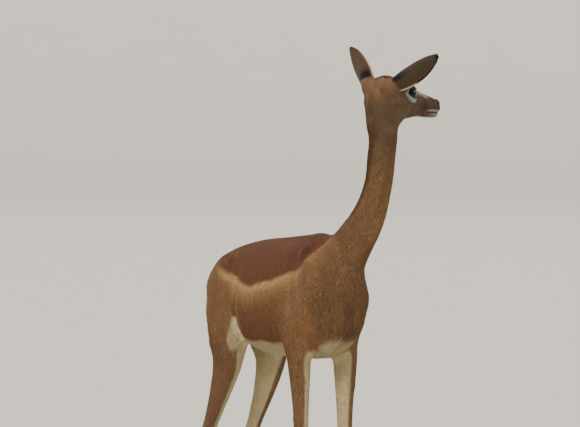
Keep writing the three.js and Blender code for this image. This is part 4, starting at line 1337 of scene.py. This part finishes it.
def growRoots(perMm, salt):
    # roots spread over the skin, evenly but not in rows, more of them where perMm is higher
    tri = np.empty(len(skinMesh.loop_triangles) * 3, np.int32)
    skinMesh.loop_triangles.foreach_get("vertices", tri)
    tri = tri.reshape(-1, 3)
    a, b, c = (skinPoints[tri[:, k]] for k in range(3))
    area = np.linalg.norm(np.cross(b - a, c - a), axis=1) / 2
    centre = (a + b + c) / 3
    share = np.cumsum(area * perMm(centre))
    count = int(share[-1])
    local = np.random.default_rng(salt)
    pick = np.searchsorted(share, (np.arange(count) + local.random(count)) * share[-1] / count)
    pick = np.clip(pick, 0, len(tri) - 1)
    u, v = local.random(count), local.random(count)
    flip = u + v > 1
    u, v = np.where(flip, 1 - u, u), np.where(flip, 1 - v, v)
    w = 1 - u - v

    def mixed(values):
        first, second, third = (values[tri[pick, k]] for k in range(3))
        return first * w[:, None] + second * u[:, None] + third * v[:, None]
    return mixed(skinPoints), unitRows(mixed(skinNormals)), mixed(skinColour)


def rootPlaces(p):
    part = partOf(p)
    around, along = flatten(p, part)
    return onSheet(around, along, part)


def tuftMesh(name, p, n, lie, length, width, lift, colour, bent, finish, tipShade=1.05, rootShade=0.93):
    # closed tapered tufts in one mesh: three corners at the root, three more halfway if bent, and a tip
    count = len(p)
    across = unitRows(np.cross(n, lie))
    length, width, lift = length[:, None], width[:, None], lift[:, None]
    sunk, ridge = (0.5, 0.45) if bent else (0.3, 0.24)
    foot = p - n * sunk
    tip = foot + (lie * np.cos(lift * 0.8) + n * np.sin(lift * 0.8)) * length
    rings = [[foot - across * width / 2, foot + across * width / 2,
              foot + n * width * ridge - lie * width * 0.2]]
    if bent:
        mid = foot + (lie * np.cos(lift * 1.5) + n * np.sin(lift * 1.5)) * length * 0.5
        rings.append([mid - across * width * 0.42, mid + across * width * 0.42, mid + n * width * 0.4])
    co = np.stack([q for ring in rings for q in ring] + [tip], 1)
    per = co.shape[1]
    faces = [(0, 1, 2)[::-1]]
    for r in range(len(rings) - 1):
        for k in range(3):
            i, j = 3 * r + k, 3 * r + (k + 1) % 3
            faces += [(i, j, j + 3), (i, j + 3, i + 3)]
    last = 3 * (len(rings) - 1)
    faces += [(last + k, last + (k + 1) % 3, per - 1) for k in range(3)]
    faces = np.array(faces)
    sample = co[0]
    cap = np.cross(sample[faces[0][1]] - sample[faces[0][0]], sample[faces[0][2]] - sample[faces[0][0]])
    if cap @ (sample[-1] - sample[0]) > 0:
        faces = faces[:, ::-1]
    index = (faces[None] + np.arange(count)[:, None, None] * per).reshape(-1)
    mesh = bpy.data.meshes.new(name)
    mesh.vertices.add(count * per)
    mesh.vertices.foreach_set("co", toMetres(co.reshape(-1, 3)).astype(np.float32).ravel())
    mesh.loops.add(len(index))
    mesh.loops.foreach_set("vertex_index", index.astype(np.int32))
    mesh.polygons.add(len(index) // 3)
    mesh.polygons.foreach_set("loop_start", np.arange(0, len(index), 3, dtype=np.int32))
    mesh.update(calc_edges=True)
    mesh.polygons.foreach_set("use_smooth", np.ones(len(index) // 3, bool))
    shade = np.full(per, rootShade)
    shade[3:] = 1.0
    shade[-1] = tipShade
    colourLayer(mesh, "coat", (colour[:, None, :] * shade[None, :, None]).reshape(-1, 3))
    normal = mesh.attributes.new("rootNormal", "FLOAT_VECTOR", "POINT")
    normal.data.foreach_set("vector", np.repeat(n, per, axis=0).astype(np.float32).ravel())
    uv = rootPlaces(p)
    angle = 2 * np.pi * np.arange(per) / per
    patch = 0.0015 * np.stack([np.cos(angle), np.sin(angle)], 1)
    corner = (uv[:, None, :] + patch[None]).reshape(-1, 2)
    layer = mesh.uv_layers.new(name="OFBake")
    layer.uv.foreach_set("vector", corner[index].astype(np.float32).ravel())
    mesh.materials.append(finish)
    return link(bpy.data.objects.new(name, mesh))


def coatDensity(p):
    z = p[:, 2]
    h = toHead(p)
    amount = np.full(len(p), coatSettings["density"])
    face = smoothStep(1200, 1240, z + 0.3 * h[:, 0]) * (z > 1190)
    amount *= 1 + 0.2 * smoothStep(620, 540, z) + 0.75 * smoothStep(780, 1000, z) * (1 - face) + 1.15 * face
    for side in (1, -1):
        outside, _, _, depth = eyePlace(h, side)
        amount *= 1 - ((outside < 1.6) & (depth > 3) & (z > 1240))
    nostril = np.hypot((np.abs(h[:, 1]) - 10.2) / 5, (z - 1252.5) / 5) < 1.15
    amount *= 1 - (nostril & (h[:, 0] > 190))
    mouth = np.abs(z - (1231.6 - 1.6 * smoothStep(158, 208, h[:, 0]))) < 1.5
    amount *= 1 - (mouth & (h[:, 0] > 160))
    amount *= z > 24
    return amount * 1


coat = []


def growCoat():
    p, n, colour = growRoots(coatDensity, 11)
    lie = lieOf(p, n)
    local = np.random.default_rng(12)
    count = len(p)
    z = p[:, 2]
    h = toHead(p)
    face = smoothStep(1195, 1235, z + 0.3 * h[:, 0]) * (z > 1190)
    muzzle = face * smoothStep(120, 175, h[:, 0])
    ear = isEar(p)[0] * (z > earsFrom)
    length = np.full(count, float(coatSettings["length"]))
    length += (coatSettings["legLength"] - length) * smoothStep(640, 520, z)
    length += (4.0 - length) * smoothStep(130, 40, z)
    length += (8.5 - length) * smoothStep(780, 1000, z)
    length += (6.5 - length) * smoothStep(1060, 1200, z)
    length += (coatSettings["faceLength"] - length) * face
    length += (2.6 - length) * muzzle
    length += (4.4 - length) * ear
    for side in (1, -1):
        outside, _, _, depth = eyePlace(h, side)
        nearEye = smoothStep(9, 1, outside) * (depth > 0) * (z > 1240)
        length *= 1 - 0.5 * nearEye
    onNeck = smoothStep(780, 1000, z)
    width = coatSettings["width"] * (1 - 0.15 * smoothStep(640, 520, z) - 0.2 * onNeck - 0.1 * face)
    lift = np.radians(coatSettings["lift"] - 2.5 * onNeck - 4 * ear)
    lift = lift * (1 + 0.35 * local.standard_normal(count))
    length = length * (1 + 0.18 * local.standard_normal(count)).clip(0.55, 1.6)
    width = width * (1 + 0.2 * local.standard_normal(count)).clip(0.5, 1.6)
    sway = (0.16 - 0.06 * onNeck) * local.standard_normal(count)
    sway = sway[:, None]
    lie = lie + np.cross(n, lie) * sway
    lie /= np.linalg.norm(lie, axis=1, keepdims=True)
    # tufts differ in lightness, in drifts a few cm long as well as one by one
    drift = 0.06 * np.sin(p[:, 0] * 0.21 + p[:, 2] * 0.13) * np.sin(p[:, 2] * 0.19 - p[:, 1] * 0.11)
    tone = 1 + drift + (0.08 - 0.035 * onNeck) * local.standard_normal(count).clip(-2, 2)
    colour = colour * tone[:, None]
    part = partOf(p)
    trunk = part == sheetNames.index("trunk")
    neck = part == sheetNames.index("neck")
    head = np.isin(part, [i for i, k in enumerate(sheetNames) if k.startswith(("ear", "head"))])
    tail = part == sheetNames.index("tail")
    right = p[:, 1] < 0
    front = p[:, 0] > -210
    fore = p[:, 0] > -300
    legs = ~(trunk | neck | head | tail)
    groups = {
        "coat_trunk_left_front": trunk & ~right & front, "coat_trunk_left_rear": trunk & ~right & ~front,
        "coat_trunk_right_front": trunk & right & front, "coat_trunk_right_rear": trunk & right & ~front,
        "coat_neck": neck, "coat_head": head, "coat_tail": tail,
        "coat_foreleg_left": legs & fore & ~right, "coat_foreleg_right": legs & fore & right,
        "coat_hindleg_left": legs & ~fore & ~right, "coat_hindleg_right": legs & ~fore & right,
    }
    for name, use in groups.items():
        if use.any():
            coat.append(tuftMesh(name, p[use], n[use], lie[use], length[use], width[use], lift[use],
                                 colour[use], False, hairFinish))
            print(name, len(coat[-1].data.polygons))


growCoat()


# Long hair: ears, knees, tail tuft, underside, nape, lashes and whiskers
longHair = {
    "earLength": 9, "earEdgeLength": 3.4, "kneeLength": 13, "tailLength": 62, "tailLocks": 420,
    "fringeLength": 17, "napeLength": 8.5, "lashLength": 7.5, "whiskerLength": 12,
}


def growHair(name, p, n, lie, length, width, lift, colour, salt, sway=0.15):
    local = np.random.default_rng(salt)
    count = len(p)
    long = np.broadcast_to(length, count) * (1 + 0.2 * local.standard_normal(count)).clip(0.5, 1.5)
    wide = np.broadcast_to(width, count) * (1 + 0.2 * local.standard_normal(count)).clip(0.5, 1.6)
    lie = unitRows(lie + np.cross(n, lie) * (sway * local.standard_normal(count))[:, None])
    lifts = np.broadcast_to(lift, count) * (1 + 0.3 * local.standard_normal(count)).clip(0.2, 2)
    tone = 1 + 0.14 * local.standard_normal(count).clip(-2, 2)
    piece = tuftMesh(name, p, n, lie, long, wide, lifts, colour * tone[:, None], True, longFinish)
    coat.append(piece)
    print(name, len(piece.data.polygons))


def allBlack(count):
    return np.tile(toLinear(coatColours["black"]), (count, 1))


def earInsideHair():
    def where(p):
        part, up, away, edge, _ = isEar(p)
        return 0.2 * part * (away > 0) * (edge > 0.3) * smoothStep(0.92, 0.8, up) * (p[:, 2] > earsFrom)
    p, n, colour = growRoots(where, 21)
    _, _, _, edge, acrossEar = isEar(p)
    h = toHead(p)
    lie = np.zeros_like(p)
    for side in (1, -1):
        _, sideways, _, axis = earFrame(side)
        use = h[:, 1] * side > 0
        lie[use] = headTurned(axis) - np.sign(acrossEar[use])[:, None] * headTurned(sideways) * 0.35
    pale = toLinear(coatColours["pale"])
    growHair("hair_ear_inside", p, n, laidDown(lie, n), longHair["earLength"], 0.45, math.radians(13),
             colour * 0.6 + pale * 0.4, 22, 0.09)


def earEdgeHair():
    rootRows, normalRows, lieRows = [], [], []
    local = np.random.default_rng(23)
    for side in (1, -1):
        origin, sideways, front, axis = earFrame(side)
        for edge in (1, -1):
            t = np.sort(local.uniform(0.1, 0.985, 560))
            _, width, cup, _ = earCurve(t)
            half = form["earWidth"] * width / 2
            middle = 4 * np.sin(np.pi * t) - 6 * t * t + cup * 0.35
            reach = form["earBow"] * np.sin(np.pi * t) + edge * half * 0.965
            h = origin + t[:, None] * form["earLength"] * axis + reach[:, None] * sideways
            h = h + (middle + local.uniform(-0.9, 0.9, len(t)))[:, None] * front
            rootRows.append(fromHead(h))
            out = headTurned(sideways) * edge
            normalRows.append(np.tile(unit(out - 0.4 * headTurned(front)), (len(t), 1)))
            lieRows.append(np.tile(headTurned(axis), (len(t), 1)) + out * 0.1)
    p, n, lie = np.vstack(rootRows), np.vstack(normalRows), np.vstack(lieRows)
    growHair("hair_ear_edge", p, n, unitRows(lie), longHair["earEdgeLength"], 0.42, math.radians(2.5),
             markings(p, n), 24, 0.06)


def kneeHair():
    def where(p):
        x, y, z = p.T
        _, cx, cy, _, _, _ = foreCurve(z)
        inFront = (x > cx + 8) * (x > -200)
        return 0.6 * np.exp(-((z - 376) / 15) ** 2) * inFront * np.exp(-((np.abs(y) - cy) / 9) ** 2)
    p, n, _ = growRoots(where, 25)
    lie = laidDown(np.tile([0.1, 0, -1.0], (len(p), 1)), n)
    growHair("hair_knees", p, n, lie, longHair["kneeLength"], 0.9, math.radians(13),
             allBlack(len(p)), 26)


def tailHair():
    local = np.random.default_rng(27)
    count = longHair["tailLocks"]
    t = 0.5 + 0.5 * local.random(count) ** 0.8
    _, x, y, z, r = tailCurve(t)
    a = local.uniform(0, 2 * np.pi, count)
    n = np.stack([np.cos(a), np.sin(a), 0 * a], 1)
    p = np.stack([x, y, z], 1) + n * (np.minimum(r, 5.5) * 0.8)[:, None]
    lie = unitRows(np.tile([0.02, 0, -1.0], (count, 1)) + n * (0.03 + 0.07 * local.random(count))[:, None])
    length = longHair["tailLength"] * (0.7 + 0.3 * (1 - t) / 0.5)
    length = np.minimum(length, p[:, 2] - 576)
    growHair("hair_tail_tuft", p, n, lie, length, 1.7, 0.05, allBlack(count), 28, 0.04)


def fringeHair():
    def where(p):
        x, y, z = p.T
        line = smoothStep(16, 4, np.abs(y))
        belly = line * (z < 628) * smoothStep(-350, -300, x) * smoothStep(80, 30, x)
        brisket = line * smoothStep(62, 90, x) * (z > 625) * smoothStep(800, 700, z)
        return 0.16 * (0.55 * belly + brisket) * (z > 560)
    p, n, colour = growRoots(where, 29)
    lie = laidDown(np.tile([-0.7, 0, -0.8], (len(p), 1)), n)
    growHair("hair_underline", p, n, lie, longHair["fringeLength"], 1.0, math.radians(12), colour, 30)


def napeHair():
    def where(p):
        past, angle = neckPlace(p)
        nape = 0.2 * smoothStep(2.6, 2.95, np.abs(angle)) * smoothStep(-20, 60, past)
        return nape * smoothStep(1215, 1150, p[:, 2])
    p, n, colour = growRoots(where, 31)
    growHair("hair_nape", p, n, lieOf(p, n), longHair["napeLength"], 0.9, math.radians(8), colour, 32)


def lashes():
    rootRows, normalRows, lieRows = [], [], []
    local = np.random.default_rng(33)
    for side in (1, -1):
        centre, ahead, up, gaze = eyeAxes(side)
        angle = np.concatenate([np.linspace(0.15, 2.85, 74), np.linspace(3.5, 5.9, 26)])
        angle = angle + local.uniform(-0.02, 0.02, len(angle))
        a, b = lidShape(angle)
        r = form["eyeRadius"] + 1.2
        depth = np.sqrt(np.maximum(r * r - a * a - b * b, 4))
        root = centre + a[:, None] * 1.03 * ahead + b[:, None] * 1.05 * up + depth[:, None] * gaze
        out = (a / 16)[:, None] * ahead + (b / 12)[:, None] * up
        rootRows.append(fromHead(root))
        turned = np.array([headTurned(v) for v in (gaze + 0.75 * out)])
        lieRows.append(turned)
        normalRows.append(np.array([headTurned(v) for v in (0.3 * gaze + up[None] * np.sign(b)[:, None])]))
    p, n, lie = np.vstack(rootRows), unitRows(np.vstack(normalRows)), unitRows(np.vstack(lieRows))
    below = np.tile(np.r_[np.zeros(74), np.ones(26)], 2)
    growHair("lashes", p, n, lie, longHair["lashLength"] * (1 - 0.55 * below), 0.42, 0.1,
             allBlack(len(p)), 34, 0.08)


def whiskers():
    # a few stiff hairs on the lips and chin
    local = np.random.default_rng(35)

    def where(p):
        h = toHead(p)
        f, side, z = h[:, 0], np.abs(h[:, 1]), h[:, 2]
        lip = smoothStep(150, 180, f) * (np.abs(z - 1231) < 14) * (np.abs(z - 1231) > 3)
        chin = (f > 168) * (z < 1226)
        return 0.014 * (lip + 0.8 * chin) * (p[:, 2] > jawFrom) * (side < 30)
    p, n, _ = growRoots(where, 36)
    back = np.tile(headTurned((-0.25, 0, -0.35)), (len(p), 1))
    shade = local.random(len(p))[:, None]
    colour = toLinear(coatColours["black"]) * shade + toLinear(coatColours["pale"]) * (1 - shade)
    growHair("whiskers", p - n * 0.2, laidDown(back, n), unitRows(n * 0.9 + back),
             longHair["whiskerLength"], 0.26, 0.08, colour, 37, 0.1)


for grow in (earInsideHair, earEdgeHair, kneeHair, tailHair, fringeHair, napeHair, lashes, whiskers):
    grow()


# Eyes
eyeSettings = {
    "bulge": 1.3, "iris": "#2a140b", "rim": "#0b0605", "pupilWide": 6.2, "pupilTall": 4.2, "irisRadius": 11.2,
}


def eyeMaterial():
    # Wet cornea over a very dark brown iris with a wide level pupil: near black, with a sharp highlight.
    material, tree, shader = newMaterial("wet_eye")
    iris = addNode(tree, "ShaderNodeVertexColor", {"layer_name": "iris"})
    tree.links.new(iris.outputs["Color"], shader.inputs["Base Color"])
    shader.inputs["Roughness"].default_value = 0.12
    shader.inputs["IOR"].default_value = 1.38
    shader.inputs["Specular IOR Level"].default_value = 0.2
    shader.inputs["Coat Weight"].default_value = 0.3
    shader.inputs["Coat Roughness"].default_value = 0.02
    return material


eyeFinish = eyeMaterial()


def makeEye(side, name):
    centre, ahead, up, gaze = eyeAxes(side)
    bm = bmesh.new()
    bmesh.ops.create_uvsphere(bm, u_segments=64, v_segments=40, radius=1)
    local = np.array([v.co[:] for v in bm.verts])
    out = local[:, 2]
    bulge = form["eyeRadius"] + eyeSettings["bulge"] * smoothStep(0.68, 0.92, out)
    q = local * bulge[:, None]
    place = centre + q[:, :1] * ahead + q[:, 1:2] * up + q[:, 2:] * gaze
    for v, co in zip(bm.verts, toMetres(fromHead(place))):
        v.co = co
    bmesh.ops.recalc_face_normals(bm, faces=bm.faces)
    mesh = toSmoothMesh(bm, name, eyeFinish)
    a, b = q[:, 0], q[:, 1]
    r = np.hypot(a, b)
    theta = np.arctan2(b, a)
    fibres = 0.8 + 0.25 * np.sin(theta * 37) * np.sin(theta * 13 + 1)
    iris = toLinear(eyeSettings["iris"])[None] * fibres[:, None]
    dark = toLinear(eyeSettings["rim"])[None]
    pupil = smoothStep(1.12, 0.92, np.hypot(a / eyeSettings["pupilWide"], b / eyeSettings["pupilTall"]))
    ring = smoothStep(eyeSettings["irisRadius"] - 1.6, eyeSettings["irisRadius"], r)
    colour = iris * (1 - ring[:, None]) + dark * ring[:, None]
    colour = colour * (1 - pupil[:, None])
    colour = np.where((out > 0)[:, None], colour, dark)
    colourLayer(mesh, "iris", colour)
    eye = link(bpy.data.objects.new(name, mesh))
    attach(eye, "root")
    return eye


def rimMaterial():
    # Bare lid margin: moist black skin, finely wrinkled.
    material, tree, shader = newMaterial("moist_black_skin")
    wrinkles = noiseOf(tree, objectPlace(tree), 900.0, 3.0)
    tree.links.new(twoTones(tree, wrinkles, ("#0c0807", "#2a1f1b")), shader.inputs["Base Color"])
    bumpOf(tree, shader, wrinkles, 0.4, 0.0003)
    shader.inputs["Roughness"].default_value = 0.32
    return material


rimFinish = rimMaterial()


def sweep(name, centres, radii, closed, finish):
    # a round tube through points in mm, made from rings bridged one to the next
    bm = bmesh.new()
    count = len(centres)
    rings = []
    for i in range(count):
        before = centres[i - 1] if i or closed else centres[i]
        after = centres[(i + 1) % count] if i < count - 1 or closed else centres[i]
        along = Vector(after - before).normalized()
        turn = along.to_track_quat("Z", "Y").to_matrix().to_4x4()
        place = Matrix.Translation(Vector(toMetres(centres[i]))) @ turn
        made = bmesh.ops.create_circle(bm, segments=8, radius=radii[i] / 1000, matrix=place)
        rings.append(made["verts"])
    for i in range(count if closed else count - 1):
        pair = set(rings[i]) | set(rings[(i + 1) % count])
        edges = {e for v in pair for e in v.link_edges if all(w in pair for w in e.verts)}
        same = [e for e in edges if len({w in rings[i] for w in e.verts}) == 1]
        bmesh.ops.bridge_loops(bm, edges=same)
    if not closed:
        bmesh.ops.holes_fill(bm, edges=[e for e in bm.edges if e.is_boundary])
    bmesh.ops.recalc_face_normals(bm, faces=bm.faces)
    return link(bpy.data.objects.new(name, toSmoothMesh(bm, name, finish)))


def lidMargin(side, name):
    centre, ahead, up, gaze = eyeAxes(side)
    angle = np.linspace(0, 2 * np.pi, 56, endpoint=False)
    a, b = lidShape(angle)
    r = form["eyeRadius"] + 0.75
    depth = np.sqrt(np.maximum(r * r - a * a - b * b, 4))
    ring = centre + a[:, None] * ahead + b[:, None] * up + depth[:, None] * gaze
    radii = 0.95 + 0.3 * np.maximum(np.sin(angle), 0) + 0.25 * np.maximum(np.cos(angle), 0) ** 4
    margin = sweep(name, fromHead(ring), radii, True, rimFinish)
    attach(margin, "root")
    return margin


for side, name in ((1, "left"), (-1, "right")):
    eye = makeEye(side, "eyeball_" + name)
    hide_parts("eye_" + name)
    lidMargin(side, "lid_margin_" + name)
print("eyes made")


# Hooves
hoofSettings = {"segments": 40, "ringDepth": 0.22}


def hoofMaterial():
    # Hoof horn: dense keratin worn satin smooth, near black with brown streaks down the wall and
    # growth rings 2 to 3 mm apart.
    material, tree, shader = newMaterial("hoof_horn")
    place = objectPlace(tree)
    streaks = noiseOf(tree, stretchedBy(tree, place, (900, 900, 60)), 1.0, 4.0)
    tone = twoTones(tree, streaks, ("#15110f", "#43362c"), (0.35, 0.75))
    tree.links.new(tone, shader.inputs["Base Color"])
    bands = noiseOf(tree, stretchedBy(tree, place, (60, 60, 1100)), 1.0, 2.0)
    bumpOf(tree, shader, bands, 0.5, 0.0004)
    tree.links.new(rangeOf(tree, streaks, 0.3, 0.55), shader.inputs["Roughness"])
    return material


hoofFinish = hoofMaterial()


def hoofRing(x, y, splay, z, segments):
    long = np.interp(z, [0, 7, 18, 34], [1, 0.98, 0.84, 0.62])
    wide = np.interp(z, [0, 7, 18, 34], [1.0, 0.99, 0.92, 0.8])
    a = 2 * np.pi * np.arange(segments) / segments
    ahead = np.cos(a)
    reach = np.where(ahead > 0, 0.58 * long, 0.42 * (0.75 + 0.25 * long))
    taper = 1 - 0.42 * np.maximum(ahead, 0) ** 1.6
    worn = 1 - 0.035 * smoothStep(2.0, 0, z) + hoofSettings["ringDepth"] / 12 * math.sin(z * 2.1)
    px = form["hoofLength"] * reach * ahead * worn - z * 0.12
    py = form["hoofWidth"] / 2 * wide * np.sin(a) * taper * worn
    c, s = math.cos(splay), math.sin(splay)
    return np.stack([x + px * c - py * s, y + px * s + py * c, np.full(segments, z)], 1)


def makeHoof(x, y, splay, name, node):
    bm = bmesh.new()
    levels = [0, 0.5, 1.2, 2.2] + list(np.linspace(3.2, 33, 20))
    for z in levels:
        made = bmesh.ops.create_circle(bm, segments=hoofSettings["segments"], radius=0.01)["verts"]
        for v, co in zip(made, toMetres(hoofRing(x, y, splay, z, hoofSettings["segments"]))):
            v.co = co
    bmesh.ops.bridge_loops(bm, edges=bm.edges[:])
    bmesh.ops.holes_fill(bm, edges=[e for e in bm.edges if e.is_boundary])
    bmesh.ops.recalc_face_normals(bm, faces=bm.faces)
    hoof = link(bpy.data.objects.new(name, toSmoothMesh(bm, name, hoofFinish)))
    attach(hoof, "root")
    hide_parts(node)


for kind, footX, footY, lead in (("fore", foreX, foreY, 26), ("hind", hindX, hindY, 28)):
    for side, sideName in ((1, "left"), (-1, "right")):
        for toe, toeName in ((1, "outer"), (-1, "inner")):
            name = "_".join([kind, sideName, toeName])
            makeHoof(footX + lead + 6, side * (footY + toe * form["toeSpread"]), side * toe * 0.07,
                     "claw_" + name, "hoof_" + name)
print("hooves made")

for piece in [skin, *coat]:
    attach(piece, "root")
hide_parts(*fleshNodes)


# Floor, light and camera
studio = {
    "bowlRadius": 34.0, "bowlCurve": 8.0, "bowlHeight": 12.0,
    "key": 2.1, "keySoftness": 18, "fill": 1.5, "fillSoftness": 40, "rim": 1.1, "rimSoftness": 14,
    "sky": 0.85,
}


def floorMaterial():
    # Matt painted board, evenly rolled, with a faint cloudiness about 0.3 m across.
    material, tree, shader = newMaterial("pale_painted_board")
    mottle = noiseOf(tree, objectPlace(tree), 3.0, 2.0)
    tree.links.new(twoTones(tree, mottle, ("#dbd8d1", "#e0ddd6")), shader.inputs["Base Color"])
    shader.inputs["Roughness"].default_value = 0.9
    shader.inputs["Specular IOR Level"].default_value = 0.2
    return material


def makeFloor():
    # a flat floor whose far edge sweeps up into a wall, spun round, so that no view shows a horizon
    bm = bmesh.new()
    flat, bend = studio["bowlRadius"], studio["bowlCurve"]
    profile = [(0, 0), (flat, 0)]
    for t in np.linspace(0, math.pi / 2, 17)[1:]:
        profile.append((flat + bend * math.sin(t), bend * (1 - math.cos(t))))
    profile.append((flat + bend, studio["bowlHeight"]))
    verts = [bm.verts.new((x, 0, z)) for x, z in profile]
    edges = [bm.edges.new(pair) for pair in zip(verts, verts[1:])]
    bmesh.ops.spin(bm, geom=verts + edges, cent=(0, 0, 0), axis=(0, 0, 1), angle=2 * math.pi, steps=96,
                   use_merge=True)
    bmesh.ops.remove_doubles(bm, verts=bm.verts, dist=1e-4)
    bmesh.ops.recalc_face_normals(bm, faces=bm.faces)
    link(bpy.data.objects.new("floor", toSmoothMesh(bm, "floor", floorMaterial())))


makeFloor()


def aimed(obj, place, target):
    obj.location = place
    obj.rotation_euler = (Vector(target) - Vector(place)).to_track_quat("-Z", "Y").to_euler()
    return link(obj)


def softLight(name, place, strength, softness, colour):
    # a large softbox far off: even light over the whole floor, with a soft shadow
    light = bpy.data.lights.new(name, "SUN")
    light.energy = strength
    light.angle = math.radians(softness)
    light.color = colour
    return aimed(bpy.data.objects.new(name, light), place, (0, 0, 0.8))


softLight("key", (3.0, -3.2, 4.6), studio["key"], studio["keySoftness"], (1.0, 0.95, 0.87))
softLight("fill", (-3.6, -1.0, 3.0), studio["fill"] * 0.6, studio["fillSoftness"], (1.0, 0.97, 0.93))
softLight("rim", (-0.2, 4.4, 3.4), studio["rim"], studio["rimSoftness"], (1.0, 0.93, 0.82))
world = bpy.data.worlds.new("studio")
world.use_nodes = True
world.node_tree.nodes["Background"].inputs["Color"].default_value = (*toLinear("#eeece6"), 1)
world.node_tree.nodes["Background"].inputs["Strength"].default_value = studio["sky"]
bpy.context.scene.world = world

view = {"azimuth": 65, "elevation": 2, "distance": 16, "frameWidth": 1.45}
a, e = math.radians(view["azimuth"]), math.radians(view["elevation"])
outward = Vector((math.sin(a) * math.cos(e), -math.cos(a) * math.cos(e), math.sin(e)))
rightward = Vector((math.cos(a), math.sin(a), 0))
upward = rightward.cross(outward) * -1
if upward.z < 0:
    upward = -upward
withers = Vector((0.197, -0.098, 0.930))
target = withers - rightward * 0.0875 + upward * 0.04875
cameraData = bpy.data.cameras.new("camera")
cameraData.sensor_width = 36
cameraData.lens = 36 * view["distance"] / view["frameWidth"]
cameraData.clip_end = 100
camera = aimed(bpy.data.objects.new("camera", cameraData), target + outward * view["distance"], target)
bpy.context.scene.camera = camera
